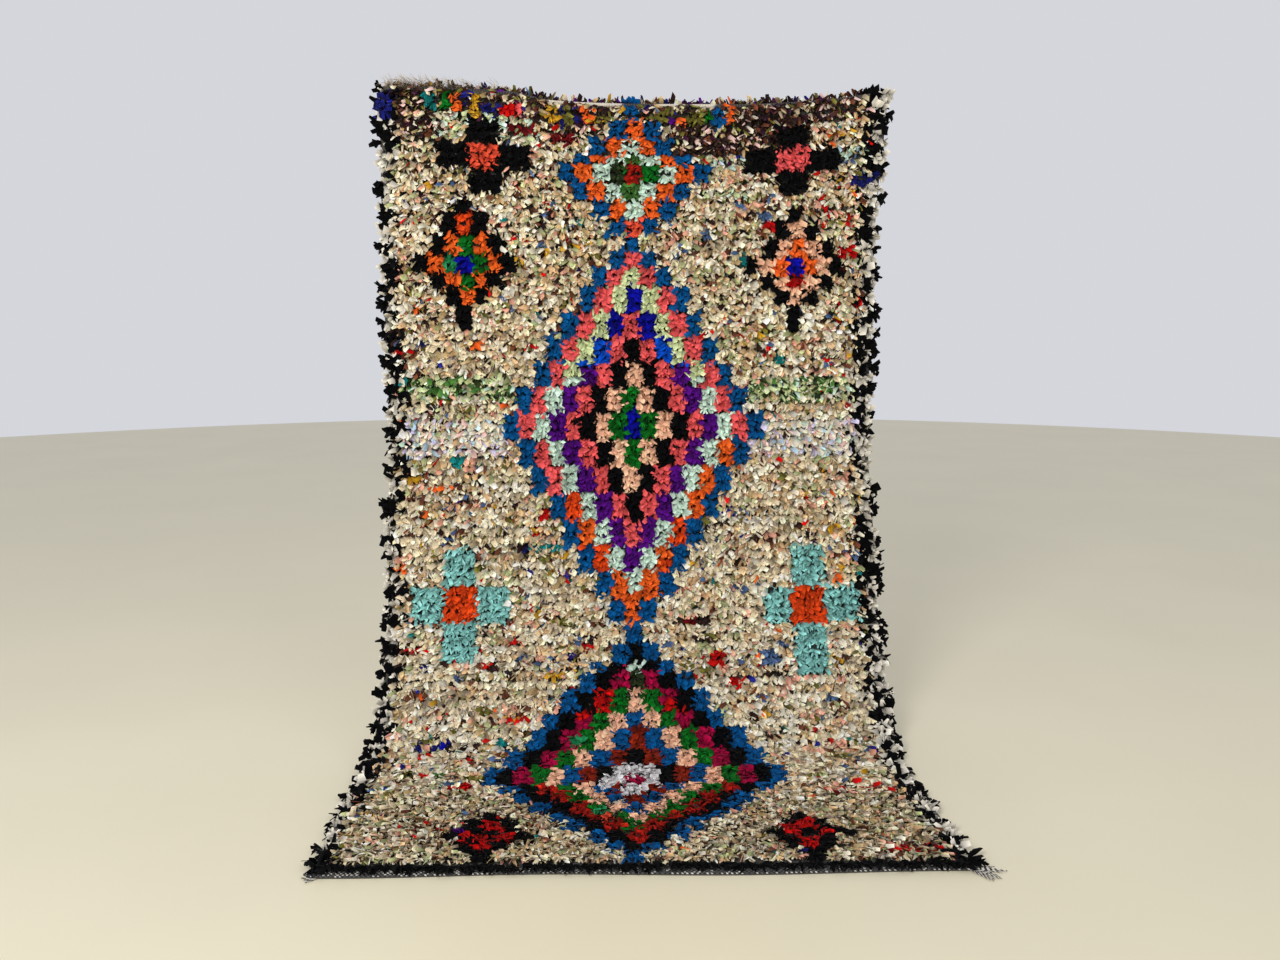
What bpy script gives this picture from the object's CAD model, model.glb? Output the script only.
"""The looks of a boucherouite rug: its rag pile, foundation, side edges, end band and tassels.

The rug hangs from its folded-over top edge, sweeps outwards near the floor and lies there with its
foot. A place on the cloth is given as "across", metres to the right of its middle line on the flat
cloth, and "below", metres down the cloth from the crest of its fold, negative on the flap behind.
"""

from __future__ import annotations

import logging
import math
from dataclasses import dataclass, fields
from enum import Enum

import bmesh
import bpy
import numpy as np
from mathutils import Matrix, Vector
from numpy.typing import ArrayLike

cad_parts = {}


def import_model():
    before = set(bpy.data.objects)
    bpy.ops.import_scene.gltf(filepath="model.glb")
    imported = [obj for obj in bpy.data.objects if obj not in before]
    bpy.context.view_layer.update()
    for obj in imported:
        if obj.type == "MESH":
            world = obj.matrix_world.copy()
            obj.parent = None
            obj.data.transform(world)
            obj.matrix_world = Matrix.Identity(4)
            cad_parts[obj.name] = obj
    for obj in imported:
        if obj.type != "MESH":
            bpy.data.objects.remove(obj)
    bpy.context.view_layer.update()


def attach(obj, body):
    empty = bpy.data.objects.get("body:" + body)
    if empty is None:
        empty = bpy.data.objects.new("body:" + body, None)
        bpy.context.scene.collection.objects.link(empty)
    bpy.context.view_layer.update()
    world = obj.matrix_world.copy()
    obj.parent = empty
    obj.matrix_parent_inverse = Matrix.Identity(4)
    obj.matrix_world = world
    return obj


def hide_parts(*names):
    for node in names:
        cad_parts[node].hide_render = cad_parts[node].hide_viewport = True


LOG = logging.getLogger("boucherouite_rug")
BODY = "root"

HALF_WIDTH = 0.585
FOUNDATION = 0.003
ROOT_HEIGHT = FOUNDATION * 0.8
RUG_SEED = 41

Place = tuple[float, float, float]
Feed = bpy.types.NodeSocket | float | tuple[float, ...]


def linear(colour: ArrayLike) -> np.ndarray:
    """Turns colours given in 0 to 255, as eyes read them, into linear light.

    Args:
        colour: red, green and blue, 0 to 255, of one colour or one row a colour.

    Returns:
        The same in linear light, 0 to 1.
    """
    share = np.asarray(colour, float) / 255.0
    return np.where(share <= 0.04045, share / 12.92, ((share + 0.055) / 1.055) ** 2.4)


def ease(share: np.ndarray) -> np.ndarray:
    """Eases shares of 0 to 1 in and out, and holds them at 0 and 1 outside."""
    share = np.clip(share, 0.0, 1.0)
    return share * share * (3.0 - 2.0 * share)


def unit(vectors: np.ndarray) -> np.ndarray:
    """Makes each row's length 1."""
    return vectors / np.linalg.norm(vectors, axis=-1, keepdims=True)


def squared(vectors: np.ndarray, along: np.ndarray) -> np.ndarray:
    """The part of each row that is square to a unit vector, at length 1."""
    return unit(vectors - along * np.sum(vectors * along, axis=1)[:, None])


def placed(name: str, data: bpy.types.ID) -> bpy.types.Object:
    """Adds an object at the origin.

    Args:
        name: its name.
        data: its mesh, light or camera.

    Returns:
        The new object.
    """
    piece = bpy.data.objects.new(name, data)
    bpy.context.scene.collection.objects.link(piece)
    return piece


def finished(shape: bmesh.types.BMesh, name: str, sharp: float = 55.0) -> bpy.types.Object:
    """Turns a bmesh into a smooth-shaded object at the origin.

    Args:
        shape: the bmesh, which is freed.
        name: the object's name.
        sharp: the angle from which an edge stays sharp, in degrees.

    Returns:
        The new object.
    """
    mesh = bpy.data.meshes.new(name)
    shape.to_mesh(mesh)
    shape.free()
    mesh.shade_smooth()
    mesh.set_sharp_from_angle(angle=math.radians(sharp))
    return placed(name, mesh)


def joined(name: str, places: np.ndarray, faces: np.ndarray) -> bpy.types.Mesh:
    """Joins many shapes with three-cornered faces into one mesh.

    Args:
        name: the mesh's name.
        places: each shape's points.
        faces: the corners of each face, counted in its own shape's points.

    Returns:
        The mesh.
    """
    count, each = places.shape[:2]
    corners = (faces + np.arange(count)[:, None, None] * each).reshape(-1)
    mesh = bpy.data.meshes.new(name)
    mesh.vertices.add(count * each)
    mesh.vertices.foreach_set("co", places.astype(np.float32).ravel())
    mesh.loops.add(len(corners))
    mesh.loops.foreach_set("vertex_index", corners.astype(np.int32))
    mesh.polygons.add(len(corners) // 3)
    mesh.polygons.foreach_set("loop_start", np.arange(0, len(corners), 3, dtype=np.int32))
    mesh.update(calc_edges=True)
    return mesh


def carried(local: np.ndarray, axes: list[np.ndarray], root: np.ndarray) -> np.ndarray:
    """Carries the points of many shapes to their places.

    Args:
        local: each shape's points along its own axes.
        axes: the three axes, each with one row a shape.
        root: where each shape's origin goes.

    Returns:
        The points' places.
    """
    return np.einsum("npa,nab->npb", local, np.stack(axes, axis=1)) + root[:, None, :]


def colour_points(mesh: bpy.types.Mesh, colours: np.ndarray) -> None:
    """Gives a mesh's points their own colours.

    Args:
        mesh: the mesh.
        colours: each point's colour in linear light, one row a point.
    """
    own = np.ones((len(colours), 4), np.float32)
    own[:, :3] = np.clip(colours, 0.0, 1.0)
    rag = mesh.color_attributes.new("rag", "FLOAT_COLOR", "POINT")
    rag.data.foreach_set("color", own.ravel())


def points_of(shape: bmesh.types.BMesh) -> np.ndarray:
    """The points of a bmesh, one row each."""
    return np.array([tuple(vert.co) for vert in shape.verts])


def corners_of(shape: bmesh.types.BMesh) -> np.ndarray:
    """The corners of a bmesh's faces, counted in its points, one row a face."""
    shape.verts.index_update()
    return np.array([[vert.index for vert in face.verts] for face in shape.faces])


def thin_sheet(columns: int, rows: int, thickness: float) -> bmesh.types.BMesh:
    """Makes a thin closed sheet, one long and one wide, with its back at height 0.

    Args:
        columns: faces across.
        rows: faces along.
        thickness: from its back to its front.

    Returns:
        The sheet.
    """
    sheet = bmesh.new()
    bmesh.ops.create_grid(sheet, x_segments=columns, y_segments=rows, size=0.5)
    made = bmesh.ops.extrude_face_region(sheet, geom=sheet.faces[:], use_keep_orig=True)
    raised = [item for item in made["geom"] if isinstance(item, bmesh.types.BMVert)]
    bmesh.ops.translate(sheet, verts=raised, vec=(0.0, 0.0, thickness))
    bmesh.ops.recalc_face_normals(sheet, faces=sheet.faces[:])
    return sheet


def move_points(shape: bmesh.types.BMesh, places: np.ndarray) -> None:
    """Moves the points of a bmesh to these places."""
    for vert, place in zip(shape.verts, places):
        vert.co = place


def smooth_curve(places: np.ndarray, values: np.ndarray, at: np.ndarray) -> np.ndarray:
    """Reads a smooth curve that runs through a short table's rows.

    Args:
        places: the table's places, rising.
        values: the value at each place.
        at: where the curve is read.

    Returns:
        The curve's values there, held at both ends.
    """
    slopes = np.gradient(values)
    slopes[1:-1] = (values[2:] - values[:-2]) / (places[2:] - places[:-2])
    slopes[[0, -1]] = slopes[[0, -1]] / np.array([places[1] - places[0], places[-1] - places[-2]])
    at = np.clip(at, places[0], places[-1])
    index = np.clip(np.searchsorted(places, at, side="right") - 1, 0, len(places) - 2)
    span = places[index + 1] - places[index]
    share = (at - places[index]) / span
    bend = slopes[index] * (1.0 - share) - slopes[index + 1] * share
    rise = ease(share) * (values[index + 1] - values[index])
    return values[index] + rise + span * share * (1.0 - share) * bend


@dataclass(frozen=True)
class Stretch:
    """One stretch of the rug's section, from the foot backwards.

    Attributes:
        length: its length along the cloth, in metres.
        turn: the angle that it turns through, in degrees.
    """

    length: float
    turn: float


@dataclass(frozen=True)
class EdgeRow:
    """How wide each side of the cloth is at one place, against its nominal half width."""

    below: float
    left: float
    right: float


@dataclass(frozen=True)
class CrestRow:
    """How high the crest stands over its lowest stretch at one place across."""

    across: float
    lift: float


@dataclass(frozen=True)
class Drape:
    """How the rug hangs: it takes a place on the flat cloth to its place in the room.

    Attributes:
        top_height: the lowest stretch of the crest over the floor.
        fold_radius: the fold's inner radius.
        flap_length: the cloth that hangs behind the fold.
        crest_fade: how far down the cloth the crest's unevenness reaches.
        foot_swing: the angle by which the foot has swung round.
        ripple: the depth of the hanging cloth's waves.
        ripple_length: from one wave to the next.
        ripple_lean: how far the waves lean, in radians for each metre of height.
        shift: moves the whole rug to the middle of its box.
        ear: how far the right end of the crest stands out.
        ear_fade: how far down the cloth it does.
        ear_start: where across the cloth it begins.
        ear_width: how far across it grows.
        laid: the section's stretches from the foot to where it hangs straight.
        edges: how wide each side is, down the cloth.
        crests: how high the crest stands, across the cloth.
    """

    top_height: float = 1.469
    fold_radius: float = 0.006
    flap_length: float = 0.130
    crest_fade: float = 0.45
    foot_swing: float = math.radians(2.6)
    ripple: float = 0.005
    ripple_length: float = 0.56
    ripple_lean: float = 2.0
    shift: tuple[float, float] = (0.00547, -0.32226)
    ear: float = 0.018
    ear_fade: float = 0.30
    ear_start: float = 0.50
    ear_width: float = 0.08
    laid: tuple[Stretch, ...] = (
        Stretch(0.360, 0.0),
        Stretch(0.085, 22.0),
        Stretch(0.140, 30.0),
        Stretch(0.160, 10.0),
        Stretch(0.200, 28.0),
    )
    edges: tuple[EdgeRow, ...] = (
        EdgeRow(0.00, 0.970, 0.978),
        EdgeRow(0.45, 0.984, 0.980),
        EdgeRow(0.78, 0.976, 0.982),
        EdgeRow(0.96, 1.004, 1.010),
        EdgeRow(1.05, 1.006, 1.026),
        EdgeRow(1.32, 1.010, 1.030),
        EdgeRow(1.50, 1.018, 1.014),
        EdgeRow(1.70, 1.016, 1.006),
        EdgeRow(1.80, 1.012, 1.032),
        EdgeRow(1.92, 1.004, 1.052),
        EdgeRow(2.10, 0.990, 1.062),
    )
    crests: tuple[CrestRow, ...] = (
        CrestRow(-0.60, 0.030),
        CrestRow(-0.28, 0.022),
        CrestRow(-0.17, 0.004),
        CrestRow(0.22, 0.000),
        CrestRow(0.45, 0.016),
        CrestRow(0.60, 0.036),
    )

    @property
    def swept(self) -> float:
        """The cloth's length from the foot's front edge to where it hangs straight."""
        return sum(stretch.length for stretch in self.laid)

    @property
    def stretches(self) -> tuple[Stretch, ...]:
        """Every stretch from the foot to the flap."""
        _, rise, _ = self.run_over(self.laid, np.array([self.swept]))
        hang = self.top_height - self.fold_radius - float(rise[0])
        fold = math.pi * self.fold_radius
        return (*self.laid, Stretch(hang, 0.0), Stretch(fold, -180.0), Stretch(self.flap_length, 0.0))

    @property
    def crest(self) -> float:
        """The cloth's length from the foot's front edge to the crest of the fold."""
        hang, fold = self.stretches[-3:-1]
        return self.swept + hang.length + fold.length / 2

    @property
    def top(self) -> float:
        """The lowest value of "below", at the flap's end."""
        return -(self.stretches[-2].length / 2 + self.flap_length)

    @staticmethod
    def run_over(
        stretches: tuple[Stretch, ...], along: np.ndarray
    ) -> tuple[np.ndarray, np.ndarray, np.ndarray]:
        """Follows the section from the foot's front edge.

        Args:
            stretches: the section's stretches, in order.
            along: how far along the cloth each point is, negative in front of the foot.

        Returns:
            How far back and how high the cloth's back is there, and its heading in radians.
        """
        back = np.minimum(along, 0.0)
        rise = np.zeros_like(along)
        heading = np.zeros_like(along)
        start, begun = 0.0, 0.0
        for stretch in stretches:
            turn = math.radians(stretch.turn)
            run = np.clip(along - start, 0.0, stretch.length)
            if turn:
                radius = stretch.length / turn
                ended = begun + run / radius
                back = back + radius * (np.sin(ended) - math.sin(begun))
                rise = rise + radius * (math.cos(begun) - np.cos(ended))
            else:
                back = back + run * math.cos(begun)
                rise = rise + run * math.sin(begun)
            heading = heading + turn * run / stretch.length
            start, begun = start + stretch.length, begun + turn
        return back, rise, heading

    def swing_at(self, along: np.ndarray) -> np.ndarray:
        """The angle by which the foot has swung round there, in radians."""
        return self.foot_swing * (1.0 - ease(along / self.swept))

    def place(self, across: np.ndarray, below: np.ndarray, height: np.ndarray) -> np.ndarray:
        """Finds where points of the flat cloth lie.

        Args:
            across: metres right of the middle line on the flat cloth.
            below: metres down the cloth from the crest.
            height: metres from the back of the cloth into its pile.

        Returns:
            One row of x, y and z for each point, in the row frame.
        """
        across, below, height = np.broadcast_arrays(across, below, height)
        along = self.crest - below
        back, z, heading = self.run_over(self.stretches, along)
        back = back - height * np.sin(heading)
        z = z + height * np.cos(heading)
        rows = np.array([(row.below, row.left, row.right) for row in self.edges]).T
        left = smooth_curve(rows[0], rows[1], below)
        right = smooth_curve(rows[0], rows[2], below)
        x = across * np.where(across < 0, left, right)
        near_crest = 1.0 - ease(np.abs(below) / self.ear_fade)
        x = x + self.ear * ease((across - self.ear_start) / self.ear_width) * near_crest
        lifts = np.array([(row.across, row.lift) for row in self.crests]).T
        fade = 1.0 - ease(np.maximum(below, 0.0) / self.crest_fade)
        z = z + smooth_curve(lifts[0], lifts[1], x) * fade
        hung = ease((along - self.swept) / self.crest_fade)
        phase = math.tau * x / self.ripple_length + self.ripple_lean * z
        back = back + self.ripple * hung * np.sin(phase)
        hang_back = self.run_over(self.laid, np.array([self.swept]))[0][0]
        swing = self.swing_at(along)
        out = back - hang_back
        turned_x = x * np.cos(swing) + out * np.sin(swing) + self.shift[0]
        turned_y = hang_back + out * np.cos(swing) - x * np.sin(swing) + self.shift[1]
        return np.stack([turned_x, turned_y, z], axis=-1)

    def directions(self, below: np.ndarray) -> tuple[np.ndarray, np.ndarray, np.ndarray]:
        """Finds the cloth's own directions at points of it.

        Args:
            below: metres down the cloth from the crest.

        Returns:
            Unit vectors to the right, down the cloth, and out of its pile, one row a point.
        """
        along = self.crest - below
        heading = self.run_over(self.stretches, along)[2]
        swing = self.swing_at(along)
        nothing = np.zeros_like(heading)
        turned = np.stack([np.sin(swing), np.cos(swing), nothing], axis=-1)
        upright = np.array([0.0, 0.0, 1.0])
        right = np.stack([np.cos(swing), -np.sin(swing), nothing], axis=-1)
        down = -np.cos(heading)[:, None] * turned - np.sin(heading)[:, None] * upright
        out = -np.sin(heading)[:, None] * turned + np.cos(heading)[:, None] * upright
        return right, down, out


@dataclass
class Knots:
    """Where strips are knotted and where they show, one row a strip.

    Attributes:
        across: the knot's place across the cloth.
        below: the knot's place down the cloth.
        row: the number of the knot's row.
        knot: the knot's own number.
        seen_across: where the strip's visible half lies, across the cloth.
        seen_below: where it lies, down the cloth.
    """

    across: np.ndarray
    below: np.ndarray
    row: np.ndarray
    knot: np.ndarray
    seen_across: np.ndarray
    seen_below: np.ndarray


@dataclass(frozen=True)
class Yarn:
    """One kind of rag.

    Attributes:
        colour: its colour in 0 to 255, as eyes read it.
        prints: how strongly small printed marks show on it, 0 to 1.
        spread: how much the lightness differs from strip to strip.
        width: how broad its strips are, against the usual.
    """

    colour: tuple[int, int, int]
    prints: float = 0.0
    spread: float = 0.14
    width: float = 0.9


class Rag(Enum):
    """The rags that the pile is knotted from."""

    CREAM = Yarn((244, 224, 186), 0.8, 0.2, 1.0)
    IVORY = Yarn((255, 244, 218), 0.5, 0.14, 1.1)
    TAN = Yarn((224, 184, 136), 0.7, 0.2, 1.0)
    SAND = Yarn((196, 166, 118), 0.8, 0.22, 1.0)
    GREIGE = Yarn((180, 162, 132), 0.7, 0.22, 1.0)
    SAGE = Yarn((180, 184, 130), 0.7, 0.2, 1.0)
    ROSE = Yarn((240, 172, 144), 0.6, 0.2, 1.0)
    BROWN = Yarn((104, 58, 38), 0.3, 0.3)
    UMBER = Yarn((44, 26, 20), 0.2, 0.35)
    OLIVE = Yarn((112, 106, 40), 0.4, 0.25)
    MUSTARD = Yarn((212, 158, 34), 0.3, 0.2)
    SLATE = Yarn((74, 98, 138), 0.4, 0.25)
    PLUM = Yarn((62, 26, 50), 0.2, 0.3)
    NAVY = Yarn((24, 28, 110), 0.1, 0.3)
    TEAL = Yarn((14, 122, 120), 0.1, 0.2)
    LEAF = Yarn((66, 112, 46), 0.25, 0.25)
    LIME = Yarn((210, 222, 164), 0.4, 0.16)
    MOSS = Yarn((40, 52, 24), 0.2, 0.3)
    LILAC = Yarn((214, 204, 232), 0.3, 0.14)
    PINK = Yarn((246, 202, 192), 0.3, 0.16)
    SKY = Yarn((182, 210, 228), 0.3, 0.16)
    WHITE = Yarn((222, 214, 198), 0.06, 0.16, 1.05)
    SILVER = Yarn((222, 218, 218), 0.1, 0.14, 0.8)
    BLUE = Yarn((2, 82, 140))
    COBALT = Yarn((0, 78, 200))
    ROYAL = Yarn((6, 10, 150), 0.0, 0.2)
    CORAL = Yarn((238, 92, 92), 0.0, 0.14)
    VERMILION = Yarn((232, 82, 54), 0.0, 0.14)
    MINT = Yarn((206, 232, 212), 0.0, 0.12)
    PURPLE = Yarn((84, 10, 124), 0.0, 0.2)
    ORANGE = Yarn((248, 102, 34), 0.0, 0.15)
    FLAME = Yarn((230, 72, 20), 0.0, 0.16)
    RUST = Yarn((128, 32, 12), 0.0, 0.25)
    BLACK = Yarn((3, 3, 5), 0.0, 0.25, 1.0)
    PEACH = Yarn((255, 194, 158), 0.0, 0.13)
    GREEN = Yarn((8, 104, 26), 0.0, 0.25)
    MAGENTA = Yarn((160, 4, 58), 0.0, 0.22)
    RED = Yarn((196, 12, 10), 0.0, 0.2)
    BRICK = Yarn((164, 26, 14), 0.0, 0.3)
    JADE = Yarn((36, 140, 84), 0.0, 0.2)
    MAROON = Yarn((104, 12, 18), 0.0, 0.25)
    TURQUOISE = Yarn((144, 208, 200), 0.0, 0.18, 0.7)


RAGS = list(Rag)
NUMBER = {rag: index for index, rag in enumerate(RAGS)}


def rag_numbers(rags: list[Rag]) -> np.ndarray:
    """The places of these rags in the list of all rags."""
    return np.array([NUMBER[rag] for rag in rags])


def yarns_of(numbers: np.ndarray, part: str) -> np.ndarray:
    """One attribute of the yarn for each rag number, such as its width."""
    return np.array([getattr(rag.value, part) for rag in RAGS])[numbers]


def colours_of(numbers: np.ndarray) -> np.ndarray:
    """The colour in linear light for each rag number, one row each."""
    return linear(yarns_of(numbers, "colour"))


@dataclass(frozen=True)
class Mix:
    """A mix of rags that a stretch of the field is knotted from, each with its share."""

    shares: tuple[tuple[Rag, float], ...]

    def draw(self, chance: np.ndarray) -> np.ndarray:
        """Draws rags from the mix.

        Args:
            chance: a chance of 0 to 1 for each.

        Returns:
            The rags' numbers.
        """
        weights = np.cumsum([share for _, share in self.shares])
        picked = np.searchsorted(weights / weights[-1], chance, side="right")
        numbers = rag_numbers([rag for rag, _ in self.shares])
        return numbers[np.clip(picked, 0, len(numbers) - 1)]


PLAIN_MIX = Mix((
    (Rag.CREAM, 0.34), (Rag.IVORY, 0.17), (Rag.TAN, 0.07), (Rag.SAND, 0.07), (Rag.GREIGE, 0.09),
    (Rag.SAGE, 0.05), (Rag.ROSE, 0.04), (Rag.BROWN, 0.034), (Rag.UMBER, 0.030), (Rag.OLIVE, 0.024),
    (Rag.MUSTARD, 0.010), (Rag.SLATE, 0.016), (Rag.RED, 0.014), (Rag.NAVY, 0.006), (Rag.TEAL, 0.006),
    (Rag.WHITE, 0.03), (Rag.ORANGE, 0.004),
))
DARK_MIX = Mix((
    (Rag.UMBER, 0.54), (Rag.BROWN, 0.14), (Rag.GREIGE, 0.06), (Rag.PINK, 0.09), (Rag.PLUM, 0.10),
    (Rag.OLIVE, 0.05), (Rag.CREAM, 0.02),
))
BRIGHT_MIX = Mix((
    (Rag.OLIVE, 0.2), (Rag.UMBER, 0.28), (Rag.PLUM, 0.16), (Rag.BROWN, 0.1), (Rag.MUSTARD, 0.05),
    (Rag.NAVY, 0.05), (Rag.SAND, 0.09), (Rag.CREAM, 0.07),
))
GREEN_MIX = Mix((
    (Rag.LIME, 0.29), (Rag.LEAF, 0.25), (Rag.MINT, 0.11), (Rag.SAGE, 0.13), (Rag.MOSS, 0.19),
    (Rag.CREAM, 0.03),
))
PASTEL_MIX = Mix((
    (Rag.LILAC, 0.16), (Rag.IVORY, 0.30), (Rag.PINK, 0.18), (Rag.SKY, 0.11), (Rag.MINT, 0.06),
    (Rag.CREAM, 0.08), (Rag.WHITE, 0.11),
))
PALE_MIX = Mix((
    (Rag.MINT, 0.34), (Rag.LIME, 0.3), (Rag.SAGE, 0.16), (Rag.IVORY, 0.2),
))
FLAP_MIX = Mix((
    (Rag.PLUM, 0.38), (Rag.UMBER, 0.28), (Rag.PURPLE, 0.08), (Rag.BROWN, 0.08), (Rag.OLIVE, 0.06),
    (Rag.NAVY, 0.07), (Rag.SAND, 0.05),
))
DUSTY_MIX = Mix((
    (Rag.GREIGE, 0.22), (Rag.SAND, 0.11), (Rag.SAGE, 0.10), (Rag.TAN, 0.07), (Rag.CREAM, 0.27),
    (Rag.IVORY, 0.12), (Rag.OLIVE, 0.03), (Rag.ROSE, 0.04), (Rag.BROWN, 0.04),
))
UPPER_MIX = Mix((
    (Rag.CREAM, 0.31), (Rag.IVORY, 0.14), (Rag.TAN, 0.08), (Rag.SAND, 0.12), (Rag.SAGE, 0.06),
    (Rag.UMBER, 0.05), (Rag.BROWN, 0.07), (Rag.ROSE, 0.09), (Rag.OLIVE, 0.03), (Rag.SLATE, 0.02),
    (Rag.RED, 0.01), (Rag.WHITE, 0.02),
))
WARM_MIX = Mix((
    (Rag.ROSE, 0.25), (Rag.TAN, 0.2), (Rag.MUSTARD, 0.15), (Rag.BROWN, 0.15), (Rag.CREAM, 0.2),
    (Rag.ORANGE, 0.05),
))
COOL_MIX = Mix((
    (Rag.MINT, 0.25), (Rag.SLATE, 0.15), (Rag.SKY, 0.15), (Rag.SAGE, 0.15), (Rag.IVORY, 0.15),
    (Rag.UMBER, 0.15),
))
RED_MIX = Mix((
    (Rag.RED, 0.5), (Rag.ROSE, 0.2), (Rag.MAROON, 0.15), (Rag.CREAM, 0.15),
))


@dataclass(frozen=True)
class Lozenge:
    """A stepped lozenge: rings of one rag each round a middle cell, counted in whole cells.

    Attributes:
        across: its middle, across the cloth.
        below: its middle, down the cloth.
        wide: a cell's width.
        middle: the middle row's height.
        above: the heights of the rows above it, from the middle outwards.
        under: the heights of the rows below it, from the middle outwards.
        rings: the rags from the middle outwards, in the middle row and above it.
        rings_under: the same below the middle row, where they differ.
        stretch: how many cells wider than one the middle row's own middle is.
        drift: how far its rows stray sideways, in one cell's width.
        drift_turn: how fast that changes from row to row, in radians.
        drift_start: how far it differs between lozenges, in radians for each metre.
    """

    across: float
    below: float
    wide: float
    middle: float
    above: tuple[float, ...]
    under: tuple[float, ...]
    rings: tuple[Rag, ...]
    rings_under: tuple[Rag, ...] = ()
    stretch: float = 0.0
    drift: float = 0.12
    drift_turn: float = 2.3
    drift_start: float = 40.0

    def paint(self, across: np.ndarray, below: np.ndarray, rags: np.ndarray) -> None:
        """Sets the rags of the strips that show in the lozenge.

        Args:
            across: each strip's place across.
            below: each strip's place down the cloth.
            rags: each strip's rag number, changed here.
        """
        down = below - self.below
        lower = np.searchsorted(np.cumsum((self.middle / 2, *self.under)), down)
        upper = np.searchsorted(np.cumsum((self.middle / 2, *self.above)), -down)
        row = np.maximum(lower, upper)
        phase = self.drift_turn * (lower - upper) + self.drift_start * self.below
        aside = np.abs((across - self.across) / self.wide + self.drift * np.sin(phase))
        rings = len(self.rings)
        in_middle = np.clip(aside - self.stretch * np.maximum(1.0 - aside / rings, 0.0), 0.0, None)
        column = np.rint(np.where(row == 0, in_middle, aside)).astype(int)
        reached = np.where(down > 0, len(self.under), len(self.above))
        ring = column + row
        inside = (ring < rings) & (row <= reached)
        ring = np.minimum(ring, rings - 1)
        above = rag_numbers(list(self.rings))
        under = rag_numbers(list(self.rings_under or self.rings))
        rags[inside] = np.where(lower > 0, under[ring], above[ring])[inside]


@dataclass(frozen=True)
class Block:
    """A plain block of one rag, given by its middle and its whole size."""

    across: float
    below: float
    wide: float
    high: float
    rag: Rag

    def paint(self, across: np.ndarray, below: np.ndarray, rags: np.ndarray) -> None:
        """Sets the rags of the strips that show in the block.

        Args:
            across: each strip's place across.
            below: each strip's place down the cloth.
            rags: each strip's rag number, changed here.
        """
        inside = np.abs(across - self.across) < self.wide / 2
        inside &= np.abs(below - self.below) < self.high / 2
        rags[inside] = NUMBER[self.rag]


@dataclass(frozen=True)
class Cross:
    """A cross of five blocks, a middle and four arms."""

    across: float
    below: float
    wide: float
    high: float
    middle: Rag
    arms: Rag

    def paint(self, across: np.ndarray, below: np.ndarray, rags: np.ndarray) -> None:
        """Sets the rags of the strips that show in the cross."""
        for wide, high, rag in ((3, 1, self.arms), (1, 3, self.arms), (1, 1, self.middle)):
            block = Block(self.across, self.below, wide * self.wide, high * self.high, rag)
            block.paint(across, below, rags)


@dataclass(frozen=True)
class Change:
    """A stretch of a motif where another rag takes one rag's place, as when a colour ran out."""

    left: float
    right: float
    top: float
    bottom: float
    old: Rag
    new: Rag

    def paint(self, across: np.ndarray, below: np.ndarray, rags: np.ndarray) -> None:
        """Sets the rags of the strips of the old rag that lie in the stretch."""
        inside = (across > self.left) & (across < self.right) & (below > self.top) & (below < self.bottom)
        rags[inside & (rags == NUMBER[self.old])] = NUMBER[self.new]


TOP_LOZENGE = Lozenge(
    0.0, 0.139, 0.0395, 0.040, (0.019, 0.034, 0.041, 0.040), (0.038, 0.042, 0.038, 0.0365),
    (Rag.RED, Rag.GREEN, Rag.MINT, Rag.ORANGE, Rag.BLUE),
)
MIDDLE_LOZENGE = Lozenge(
    0.0, 0.7185, 0.0370, 0.065, (0.0588,) * 5 + (0.0395,) * 2, (0.0645,) * 8,
    (Rag.ROYAL, Rag.GREEN, Rag.PEACH, Rag.BLACK, Rag.CORAL, Rag.PURPLE, Rag.MINT, Rag.CORAL, Rag.BLUE),
    (Rag.ROYAL, Rag.GREEN, Rag.PEACH, Rag.BLACK, Rag.CORAL, Rag.PURPLE, Rag.MINT, Rag.FLAME, Rag.BLUE),
)
LOWER_LOZENGE = Lozenge(
    0.0, 1.639, 0.0376, 0.078, (0.071, 0.064, 0.045, 0.050, 0.044, 0.024, 0.044),
    (0.033, 0.043, 0.043, 0.032, 0.031, 0.045, 0.034, 0.042),
    (Rag.SILVER, Rag.BLACK, Rag.RUST, Rag.BLUE, Rag.PEACH, Rag.GREEN, Rag.MAGENTA, Rag.BLACK, Rag.BLUE),
    (Rag.SILVER, Rag.BLACK, Rag.RUST, Rag.BLUE, Rag.PEACH, Rag.GREEN, Rag.BRICK, Rag.BLACK, Rag.BLUE),
    stretch=1.0,
)
LEFT_LOZENGE = Lozenge(
    -0.39, 0.344, 0.0335, 0.038, (0.040, 0.049, 0.026), (0.036, 0.034, 0.057),
    (Rag.ROYAL, Rag.GREEN, Rag.ORANGE, Rag.BLACK),
)
RIGHT_LOZENGE = Lozenge(
    0.39, 0.346, 0.0345, 0.038, (0.039, 0.038, 0.037), (0.036, 0.036, 0.062),
    (Rag.ROYAL, Rag.ORANGE, Rag.PEACH, Rag.BLACK), (Rag.ROYAL, Rag.RED, Rag.PEACH, Rag.BLACK),
)
TOP_CHANGES = (
    Change(-0.02, 0.02, 0.098, 0.120, Rag.GREEN, Rag.LEAF),
    Change(-0.02, 0.02, 0.160, 0.200, Rag.GREEN, Rag.LEAF),
    Change(-0.03, 0.03, 0.110, 0.170, Rag.RED, Rag.BRICK),
    Change(-0.07, -0.02, 0.115, 0.160, Rag.GREEN, Rag.MOSS),
    Change(-0.07, -0.03, 0.100, 0.150, Rag.ORANGE, Rag.VERMILION),
    Change(-0.02, 0.03, 0.230, 0.280, Rag.ORANGE, Rag.VERMILION),
)
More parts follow.
